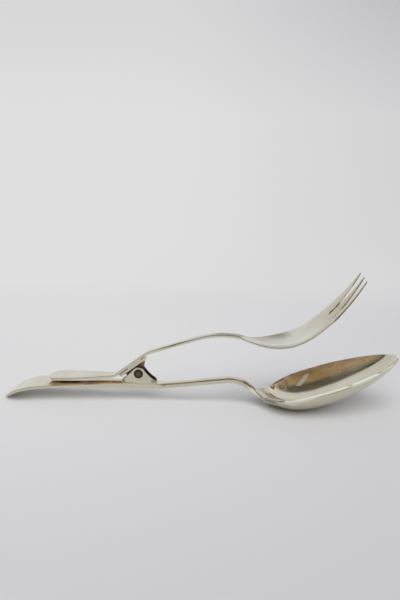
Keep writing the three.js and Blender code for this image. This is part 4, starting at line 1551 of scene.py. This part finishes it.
@dataclass
class Fork:
    """The fork: thumb lever, ramp over the hinge, stem and tined blade in one pressing."""

    ramp_slope: float = 36.4
    seat_height: float = 6.4
    seat_ahead: float = 9.5
    seat_behind: float = 11.2
    strip_width: float = 6.6
    strip_thickness: float = 1.7
    stem_bend: Run = Run(5.8, -19.3)
    stem_length: float = 29.0
    stem_width: float = 4.4
    stem_thickness: float = 2.3
    crest_bend: Run = Run(28.1, -30.4)
    blade_bends: tuple[Run, ...] = (Run(21.2, 22.9), Run(21.9, 29.4), Run(41.4, 19.2))
    lever_bend_length: float = 4.2
    lever_length: float = 40.0
    lever_slope: float = 2.5
    lever_width: float = 15.6
    lever_waist_width: float = 14.2
    lever_waist_from_end: float = 21.5
    lever_neck_width: float = 7.8
    lever_thickness: float = 1.3
    lever_end_round: float = 5.0
    blade_length: float = 88.0
    blade_width: float = 40.8
    blade_dish: float = 2.5
    blade_neck_length: float = 18.0
    blade_neck_thickness: float = 1.1
    blade_thickness: float = 1.0
    tine_thickness: float = 0.7
    tine_length: float = 28.5
    tine_spread: float = 28.4
    tine_tip_width: float = 1.5
    tine_point: float = 2.2
    least_half: float = 0.05
    slot_root_width: float = 1.3
    slot_eye: float = 4.4
    cutter_reach: float = 4.0
    cutter_start: float = 0.02
    cutter_steps: tuple[int, ...] = (10, 10, 20, 8)
    shoulder_end: Pair = (4.0, 16.0)
    end_steps: tuple[int, int] = (14, 8)
    steps: tuple[int, ...] = (16, 10, 8, 10, 10, 14, 44, 24)
    outline_steps: int = 120
    least_outline: float = 1.0
    width_shares: tuple[Pair, ...] = (
        (0, 0.11), (0.1, 0.22), (0.17, 0.36), (0.31, 0.65), (0.45, 0.84), (0.6, 0.925),
        (0.75, 0.955), (0.9, 0.985), (1, 1),
    )
    dish_shares: tuple[Pair, ...] = (
        (0, 0), (0.1, 0.2), (0.2, 0.66), (0.3, 0.93), (0.4, 1), (0.55, 0.9), (0.7, 0.62),
        (0.85, 0.33), (1, 0.14),
    )

    def __post_init__(self) -> None:
        """Lay the fork's line and draw its sizes along it."""
        slope = math.radians(self.ramp_slope)
        seat = Station(
            0, -self.seat_height * math.sin(slope), self.seat_height * math.cos(slope), self.ramp_slope
        )
        ahead = (
            Run(self.seat_ahead), self.stem_bend, Run(self.stem_length), self.crest_bend, *self.blade_bends
        )
        behind = (
            Run(self.seat_behind),
            Run(self.lever_bend_length, self.lever_slope - self.ramp_slope),
            Run(self.lever_length),
        )
        self.path = StripPath(seat, ahead, behind)
        self.stem_start, self.crest_start = (mark.place for mark in self.path.marks[2:4])
        self.lever_start = -self.path.back_marks[2].place
        self.blade_start = self.path.end - self.blade_length
        self.tine_root = self.path.end - self.tine_length
        self.root_half = (self.blade_width - 2 * self.slot_root_width) / 6
        self.root_spread = 2 * self.root_half + self.slot_root_width
        tip = self.path.start
        self.strip_half = half_widths([
            (tip, self.lever_width),
            (tip + self.lever_end_round, self.lever_width),
            (tip + self.lever_waist_from_end, self.lever_waist_width),
            (self.lever_start, self.lever_neck_width),
            (-self.seat_behind, self.strip_width),
            (self.seat_ahead, self.strip_width),
            (self.stem_start, self.strip_width),
            (self.crest_start, self.stem_width),
            (self.blade_start, self.stem_width),
        ])
        blade = self.tine_root - self.blade_start
        self.blade_half = spread(self.width_shares, self.blade_start, blade, self.blade_width / 2)
        self.dish = spread(self.dish_shares, self.blade_start, self.blade_length, self.blade_dish)
        self.thickness = smooth_curve([
            (tip, self.lever_thickness),
            (self.lever_start, self.lever_thickness),
            (-self.seat_behind, self.strip_thickness),
            (self.seat_ahead, self.strip_thickness),
            (self.crest_start, self.stem_thickness),
            (self.blade_start, self.stem_thickness),
            (self.blade_start + self.blade_neck_length, self.blade_neck_thickness),
            (self.tine_root, self.blade_thickness),
            (self.path.end, self.tine_thickness),
        ])
        full, gone = self.shoulder_end
        self.shoulder = smooth_curve([
            (self.stem_start, 0),
            (self.crest_start, 1),
            (self.blade_start + full, 1),
            (self.blade_start + gone, 0),
        ])

    def tine(self, place: float) -> Pair:
        """Size up the tines.

        Args:
            place: Where along the path, at or past the roots.

        Returns:
            Half of every tine's width, and how far out an outer tine's middle lies.
        """
        share = (place - self.tine_root) / self.tine_length
        point = opened(self.path.end - place, self.tine_point)
        half = lerp(self.root_half, self.tine_tip_width / 2, share) * point
        return max(half, self.least_half), lerp(self.root_spread, self.tine_spread / 2, share)

    def half_width(self, place: float) -> float:
        """Find half the fork's width.

        Args:
            place: Where along the path.

        Returns:
            Half the width there.
        """
        if place >= self.tine_root:
            half, middle = self.tine(place)
            return middle + half
        if place > self.blade_start:
            return max(self.blade_half(place), self.strip_half(place))
        return self.strip_half(place) * opened(place - self.path.start, self.lever_end_round)

    def section(self, place: float) -> Section:
        """Draw the fork's section as if it had no slots.

        Args:
            place: Where along the path.

        Returns:
            The ring of points.
        """
        thickness = self.thickness(place)
        dish = self.dish(place) if place > self.blade_start else 0.0
        half = max(self.half_width(place), thickness / 2)
        return Pressed(half, thickness, dish, self.shoulder(place)).ring()

    def places(self) -> list[float]:
        """List where the rings stand.

        Returns:
            The places, closer together on bends and round ends.
        """
        tip, round_end = self.path.start, self.path.start + self.lever_end_round
        end, point = self.path.end, self.path.end - self.tine_point
        marks = (
            round_end, self.lever_start, -self.seat_behind, self.seat_ahead, self.stem_start,
            self.crest_start, self.blade_start, self.tine_root, point,
        )
        return ordered(
            crowded(round_end, tip, self.end_steps[0]),
            stretches(marks, self.steps),
            crowded(point, end, self.end_steps[1]),
        )

    def slot_edges(self, place: float) -> Pair:
        """Find a slot's two edges.

        Args:
            place: Where along the path.

        Returns:
            The inner and the outer edge's distance from the middle line.
        """
        eye = self.slot_eye / 2
        middle_of_root = self.root_half + self.slot_root_width / 2
        past = place - self.tine_root
        bulge = math.sqrt(max(eye * eye - past * past, 0.0))
        if past <= 0:
            return middle_of_root - bulge, middle_of_root + bulge
        half, middle = self.tine(min(place, self.path.end))
        return min(half, middle_of_root - bulge), max(middle - half, middle_of_root + bulge)

    def slot_cutter(self, side: int) -> bpy.types.Object:
        """Build what is cut out between two tines.

        Args:
            side: Minus one for the slot near the viewer, one for the far slot.

        Returns:
            A closed solid that stands through the blade.
        """
        eye = self.slot_eye / 2
        reach = self.blade_dish + self.cutter_reach
        root, end = self.tine_root, self.path.end
        first, *middle, last = self.cutter_steps
        places = ordered(
            crowded(root, root - eye + self.cutter_start, first),
            stretches((root, root + eye, end - self.tine_point), middle),
            crowded(end - self.tine_point, end, last),
            [end + self.cutter_reach],
        )

        def section(place: float) -> Section:
            """Draw the slot's section.

            Args:
                place: Where along the path.

            Returns:
                Its four corners.
            """
            left, right = sorted(side * edge for edge in self.slot_edges(place))
            return [(left, reach), (right, reach), (right, -reach), (left, -reach)]

        return sweep(f"slot_cutter_{side}", self.path, places, section)

    def build(self) -> bpy.types.Object:
        """Build the fork.

        Returns:
            The fork with its two slots cut.
        """
        fork = sweep("fork_pressing", self.path, self.places(), self.section)
        carve(fork, [self.slot_cutter(-1), self.slot_cutter(1)])
        stations = [self.path.at(place) for place in even(self.path.start, self.path.end, self.outline_steps)]
        rows = [(spot.x, max(self.half_width(spot.place), self.least_outline)) for spot in stations]
        mark_underside(fork, smooth_curve(rows))
        return fork

    def dress(self) -> None:
        """Build the fork and give it its worn silver with painted shade and reflections."""
        dress(self.build(), FORK_SILVER.make(), Half.FORK, Slot.SILVER, "fork")


@dataclass
class Hinge:
    """The riveted hinge: a knuckle on each strip, the rivet, its rings and the solder round the plates.

    A sweep is the pull of a wall's curved edge, given as shares of its foot's reach and height. The
    waves that make the bead uneven are triples of height, pace and shift.
    """

    ramp_slope: float = 36.4
    bore_radius: float = 1.57
    bore_steps: int = 48
    drill_reach: float = 1.0
    plate_thickness: float = 1.6
    plate_half: float = 3.3
    plate_inset: float = 0.04
    plate_corner: float = 1.3
    plate_behind: float = 10.6
    lower_ahead: float = 10.6
    upper_ahead: float = 8.9
    lower_gap: float = 4.45
    upper_gap: float = 4.75
    ear_thickness: float = 1.0
    ear_radius: float = 3.95
    ear_foot: float = 1.05
    ear_inset: float = 0.5
    ear_sunk: float = 0.02
    ear_crown_start: float = 38.0
    ear_crown_steps: int = 24
    ear_sweep: Pair = (0.68, 0.41)
    lug_thickness: float = 0.9
    lug_outer: float = 1.9
    lug_radius: float = 3.6
    lug_inset: float = 0.4
    lug_nose: Pair = (185.0, 355.0)
    lug_nose_steps: int = 36
    lug_sweep: Pair = (0.44, 0.32)
    sweep_steps: int = 16
    edge_round: float = 0.16
    shank_radius: float = 1.5
    head_seat: float = 0.05
    head_radius: float = 2.85
    head_height: float = 0.7
    head_rim_share: float = 0.4
    head_steps: int = 14
    tail_radius: float = 2.5
    tail_height: float = 0.6
    bead_radius: float = 0.32
    bead_side_share: float = 0.2
    bead_sunk: float = 0.35
    bead_waves: tuple[Triple, ...] = ((0.22, 2.3, 0.0), (0.12, 5.1, 1.0))
    bead_sides: int = 10
    skirt_depth: float = 0.3
    skirt_proud: float = 0.02
    skirt_inset: float = 0.6
    skirt_steps: int = 24
    lower_skirt: Pair = (-0.9, 0.1)
    upper_skirt: Pair = (-0.4, 0.8)
    hidden_rings: tuple[str, ...] = ("spacer_bush", "near_washer", "far_washer")

    def ear_outline(self) -> Section:
        """Draw an ear of the lower knuckle.

        Returns:
            The outline, counter-clockwise.
        """
        top = -self.lower_gap
        buried = top - self.plate_thickness + self.ear_sunk
        behind = self.ear_inset - self.plate_behind
        foot = self.lower_ahead - self.ear_inset
        ahead = foot - self.ear_foot
        reach = math.hypot(behind, top)
        tangent = math.atan2(top, behind) - math.acos(self.ear_radius / reach) + 2 * math.pi
        crown = arc(self.ear_radius, self.ear_crown_start, math.degrees(tangent), self.ear_crown_steps)
        pull = (ahead * self.ear_sweep[0], top * self.ear_sweep[1])
        swept = bowed((ahead, top + self.ear_foot), pull, crown[0], self.sweep_steps)
        feet = [(behind, top), (behind, buried), (foot, buried), (foot, top)]
        return feet + swept[:-1] + crown

    def lug_outline(self) -> Section:
        """Draw a lug of the upper knuckle.

        Returns:
            The outline, counter-clockwise.
        """
        under = self.upper_gap
        foot = self.upper_ahead - self.lug_inset
        nose = arc(self.lug_radius, *self.lug_nose, self.lug_nose_steps)
        pull = (foot * self.lug_sweep[0], under * self.lug_sweep[1])
        left = bowed((-foot, under), (-pull[0], pull[1]), nose[0], self.sweep_steps)
        right = bowed(nose[-1], pull, (foot, under), self.sweep_steps)
        buried = under + self.plate_thickness / 2
        return [(foot, buried), (-foot, buried)] + left[:-1] + nose + right[1:]

    def wall(self, name: str, outline: Section, tilt: Tilt, low: float, high: float) -> bpy.types.Object:
        """Stand an outline up as a bored wall.

        Args:
            name: The object's name.
            outline: The wall's outline in the hinge's plane.
            tilt: The frame that it stands in.
            low: Its nearer face, across.
            high: Its farther face, across.

        Returns:
            The wall with the rivet's hole.
        """
        wall = prism(name, tilt.upright(outline, low), tilt.upright(outline, high), self.edge_round)
        ring = arc(self.bore_radius, 0, 360, self.bore_steps)[:-1]
        near, far = low - self.drill_reach, high + self.drill_reach
        carve(wall, [prism(f"{name}_drill", tilt.upright(ring, near), tilt.upright(ring, far))])
        return wall

    def knuckle(
        self, name: str, tilt: Tilt, ahead: float, bottom: float, outline: Section, outer: float, thick: float
    ) -> bpy.types.Object:
        """Make a knuckle: a base plate with a wall on each side.

        Args:
            name: The object's name.
            tilt: The frame that it lies in.
            ahead: How far its plate reaches ahead of the rivet.
            bottom: The height of the plate's lower face.
            outline: The walls' outline.
            outer: How far out the walls' outer faces stand.
            thick: The walls' thickness.

        Returns:
            The knuckle.
        """
        base = rounded_outline(self.plate_behind, ahead, self.plate_half - self.plate_inset, self.plate_corner)
        low, high = tilt.level(base, bottom), tilt.level(base, bottom + self.plate_thickness)
        return merged(f"{name}_shell", [
            prism(f"{name}_plate", low, high, self.edge_round),
            self.wall(f"{name}_near", outline, tilt, -outer, thick - outer),
            self.wall(f"{name}_far", outline, tilt, outer - thick, outer),
        ])

    def dome(self, radius: float) -> list[Pair]:
        """Draw half a rivet head, from its crown to its rim.

        Args:
            radius: The head's radius.

        Returns:
            Pairs of radius and share of the height.
        """
        angles = even(0, math.pi / 2, self.head_steps)
        crown = [(radius * math.sin(a), lerp(self.head_rim_share, 1.0, math.cos(a))) for a in angles]
        return crown + [(radius, 0.0)]

    def rivet(self) -> bpy.types.Object:
        """Turn the rivet.

        Returns:
            A domed head near the viewer, a shank and a spread tail.
        """
        seat, shank = self.plate_half + self.head_seat, self.shank_radius
        head = [(radius, -seat - self.head_height * rise) for radius, rise in self.dome(self.head_radius)]
        tail = [(radius, seat + self.tail_height * rise) for radius, rise in self.dome(self.tail_radius)]
        return lathe("rivet_turned", head + [(shank, -seat), (shank, seat)] + tail[::-1])

    def bead(self, name: str, tilt: Tilt, ahead: float, height: float) -> bpy.types.Object:
        """Run a bead of solder round a plate where it meets its strip.

        Args:
            name: The object's name.
            tilt: The frame that the plate lies in.
            ahead: How far the plate reaches ahead of the rivet.
            height: The height of the joint.

        Returns:
            The bead, a little uneven along its run.
        """
        line = rounded_outline(self.plate_behind, ahead, self.plate_half, self.plate_corner)
        count = len(line)
        points = []
        for i, (along, across) in enumerate(line):
            before, after = line[i - 1], line[(i + 1) % count]
            run = Vector((after[0] - before[0], after[1] - before[1])).normalized()
            uneven = 1 + sum(size * math.sin(pace * i + shift) for size, pace, shift in self.bead_waves)
            thick = self.bead_radius * uneven * lerp(self.bead_side_share, 1.0, abs(run.y))
            for angle in even(0, 2 * math.pi, self.bead_sides)[:-1]:
                out = thick * (math.cos(angle) - self.bead_sunk)
                points.append(
                    tilt.point(along + run.y * out, across - run.x * out, height + thick * math.sin(angle))
                )
        return mesh_object(name, points, ring_faces(count, self.bead_sides, closed=True))

    def solder(
        self, name: str, strip: Spoon | Fork, tilt: Tilt, ahead: float, height: float, span: Pair
    ) -> bpy.types.Object:
        """Build the solder that holds a knuckle to its strip.

        Args:
            name: The object's name.
            strip: The spoon or the fork.
            tilt: The frame that the plate lies in.
            ahead: How far the plate reaches ahead of the rivet.
            height: The height of the joint.
            span: Where the filling begins and ends, up from the strip's underside.

        Returns:
            The bead round the plate's ends and the filling along its sides, flush with the strip.
        """
        inner = self.plate_half - self.skirt_depth
        low, high = span

        def section(side: int, place: float) -> Section:
            """Draw the filling's section.

            Args:
                side: Minus one near the viewer, one on the far side.
                place: Where along the strip.

            Returns:
                Its four corners.
            """
            outer = max(strip.strip_half(place), self.plate_half) + self.skirt_proud
            return [(side * inner, low), (side * inner, high), (side * outer, high), (side * outer, low)]

        places = even(-self.plate_behind + self.skirt_inset, ahead - self.skirt_inset, self.skirt_steps)
        skirts = [
            sweep(f"{name}_{side}", strip.path, places, lambda place, side=side: section(side, place))
            for side in (-1, 1)
        ]
        return merged(name, [self.bead(f"{name}_bead", tilt, ahead, height), *skirts])

    def dress(self, spoon: Spoon, fork: Fork, nodes: dict[str, bpy.types.Object]) -> None:
        """Build the hinge's pieces and give each its finish.

        Args:
            spoon: The spoon that the lower knuckle sits on.
            fork: The fork that the upper knuckle holds.
            nodes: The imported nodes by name.
        """
        level, ramp_tilt = Tilt(), Tilt(self.ramp_slope)
        lower_joint = -(self.lower_gap + self.plate_thickness)
        upper_joint = self.upper_gap + self.plate_thickness
        lower_knuckle = self.knuckle(
            "lower_knuckle", level, self.lower_ahead, lower_joint, self.ear_outline(), self.plate_half,
            self.ear_thickness,
        )
        dress(lower_knuckle, LOWER_PLATE.make(), Half.SPOON, Slot.KNUCKLE, "lower_knuckle")
        upper_knuckle = self.knuckle(
            "upper_knuckle", ramp_tilt, self.upper_ahead, self.upper_gap, self.lug_outline(), self.lug_outer,
            self.lug_thickness,
        )
        dress(upper_knuckle, UPPER_PLATE.make(), Half.FORK, Slot.KNUCKLE, "upper_knuckle")
        dress(self.rivet(), DarkRivet().make(), Half.SPOON, Slot.RIVET, "hinge_rivet")
        tin = SOLDER.make()
        low, high = (spoon.strip_thickness + edge for edge in self.lower_skirt)
        lower_solder = self.solder("lower_solder", spoon, level, self.lower_ahead, lower_joint, (low, high))
        dress(lower_solder, tin, Half.SPOON, Slot.KNUCKLE)
        upper_solder = self.solder(
            "upper_solder", fork, ramp_tilt, self.upper_ahead, upper_joint, self.upper_skirt
        )
        dress(upper_solder, tin, Half.FORK, Slot.KNUCKLE)
        brass = PlainBrass().make()
        for name in self.hidden_rings:
            coat(nodes[name], brass)
            LOG.info("%s: the packed ring in turned brass", name)


@dataclass
class Studio:
    """The table, the sweep behind it, the room's light and the camera.

    Lifts are degrees of a mirrored ray over the horizon behind the table, past 90 for the front.
    """

    floor_front: float = -1.6
    floor_back: float = 0.75
    half_width: float = 2.2
    sweep_radius: float = 0.55
    sweep_steps: int = 24
    sweep_top: float = 1.25
    room_level: Colour = (0.44, 0.44, 0.455)
    shown_level: Colour = (0.7, 0.7, 0.705)
    room_dark: Colour = (0.066, 0.06, 0.048)
    room_brown: Colour = (0.1, 0.075, 0.05)
    room_front: Colour = (0.3, 0.29, 0.24)
    room_mottle_scale: float = 9.0
    room_mottle: Pair = (0.35, 0.65)
    window: Colour = (0.72, 0.71, 0.66)
    right_window: Colour = (0.95, 0.94, 0.88)
    window_lift: Pair = (108.0, 122.0)
    front_lift: Pair = (148.0, 160.0)
    right_window_band: Pair = (0.25, 0.45)
    backdrop_lift: Pair = (69.5, 72.5)
    backdrop_side: float = -0.5
    backdrop_fall: float = 30.0
    lamp_power: float = 2.4
    lamp_spread: float = 55.0
    lamp_place: Triple = (0.15, -0.66, 0.74)
    camera_place: Triple = (0.045252, -0.3763, 0.1444)
    camera_pitch: float = 11.92
    camera_azimuth: float = 6.37
    camera_film: float = 36.0
    camera_near: float = 0.01
    lens: float = 39.0

    def sweep(self) -> None:
        """Build the floor that curves up into a backdrop."""
        centre = (self.floor_back, self.sweep_radius)
        line = [(self.floor_front, 0.0)] + arc(self.sweep_radius, -90, 0, self.sweep_steps, centre)
        line.append((self.floor_back + self.sweep_radius, self.sweep_top))
        points = [Vector((x, y, z)) for y, z in line for x in (-self.half_width, self.half_width)]
        faces = [(2 * i, 2 * i + 1, 2 * i + 3, 2 * i + 2) for i in range(len(line) - 1)]
        mesh = bpy.data.meshes.new("table_sweep")
        mesh.from_pydata(points, [], faces)
        for face in mesh.polygons:
            face.use_smooth = True
        paper = add_object("table_sweep", mesh)
        coat(paper, SweepPaper().make())

    def world(self) -> None:
        """Light the room evenly and let metal see a pale backdrop, a dark ceiling and bright windows."""
        world = bpy.data.worlds.new("room")
        bpy.context.scene.world = world
        world.use_nodes = True
        world.node_tree.nodes.clear()
        graph = Graph(world.node_tree)
        way = graph.add("ShaderNodeTexCoord", output="Generated")
        x, y, z = graph.parts(way)
        lift = graph.add("ShaderNodeMath", {"operation": "ARCTAN2"}, {0: z, 1: y}) * (180 / math.pi)
        mottle = graph.noise(way, self.room_mottle_scale, detail=4.0, rough=0.65)
        room = graph.blend(mottle.fade(*self.room_mottle), self.room_dark, self.room_brown)
        room = graph.blend(lift.fade(*self.window_lift), room, self.window)
        room = graph.blend(lift.fade(*self.front_lift), room, self.room_front)
        room = graph.blend(x.fade(*self.right_window_band), room, self.right_window)
        beyond = (self.backdrop_side - x).highest(0.0) * self.backdrop_fall
        seen = graph.blend((lift + beyond).fade(*self.backdrop_lift), self.shown_level, room)
        rays = graph.node("ShaderNodeLightPath").outputs
        glossy, camera = (Signal(graph, rays[name]) for name in ("Is Glossy Ray", "Is Camera Ray"))
        colour = graph.blend(camera, graph.blend(glossy, self.room_level, seen), self.shown_level)
        background = graph.add("ShaderNodeBackground", None, {"Color": colour, "Strength": 1.0})
        graph.node("ShaderNodeOutputWorld", None, {"Surface": background})

    def lamps(self) -> None:
        """Light the table softly from the front with one broad lamp that metal doesn't mirror."""
        data = bpy.data.lights.new("soft_front", "SUN")
        data.energy = self.lamp_power
        data.angle = math.radians(self.lamp_spread)
        lamp = add_object(data.name, data)
        lamp.location = self.lamp_place
        lamp.rotation_euler = lamp.location.to_track_quat("Z", "Y").to_euler()
        lamp.visible_glossy = False

    def camera(self) -> None:
        """Stand the camera in front of the table."""
        data = bpy.data.cameras.new("camera")
        data.sensor_width = self.camera_film
        data.sensor_fit = "AUTO"
        data.lens = self.lens
        data.clip_start = self.camera_near
        camera = add_object("camera", data)
        camera.location = self.camera_place
        camera.rotation_euler = (math.radians(90 - self.camera_pitch), 0.0, math.radians(self.camera_azimuth))
        bpy.context.scene.camera = camera

    def build(self) -> None:
        """Build the whole studio."""
        self.sweep()
        self.world()
        self.lamps()
        self.camera()
        bpy.context.scene.view_settings.view_transform = "Standard"


def main() -> None:
    """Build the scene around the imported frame."""
    logging.basicConfig(level=logging.INFO)
    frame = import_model()
    spoon, fork = Spoon(), Fork()
    spoon.dress()
    fork.dress()
    Hinge().dress(spoon, fork, frame["nodes"])
    Studio().build()


if __name__ == "__main__":
    main()
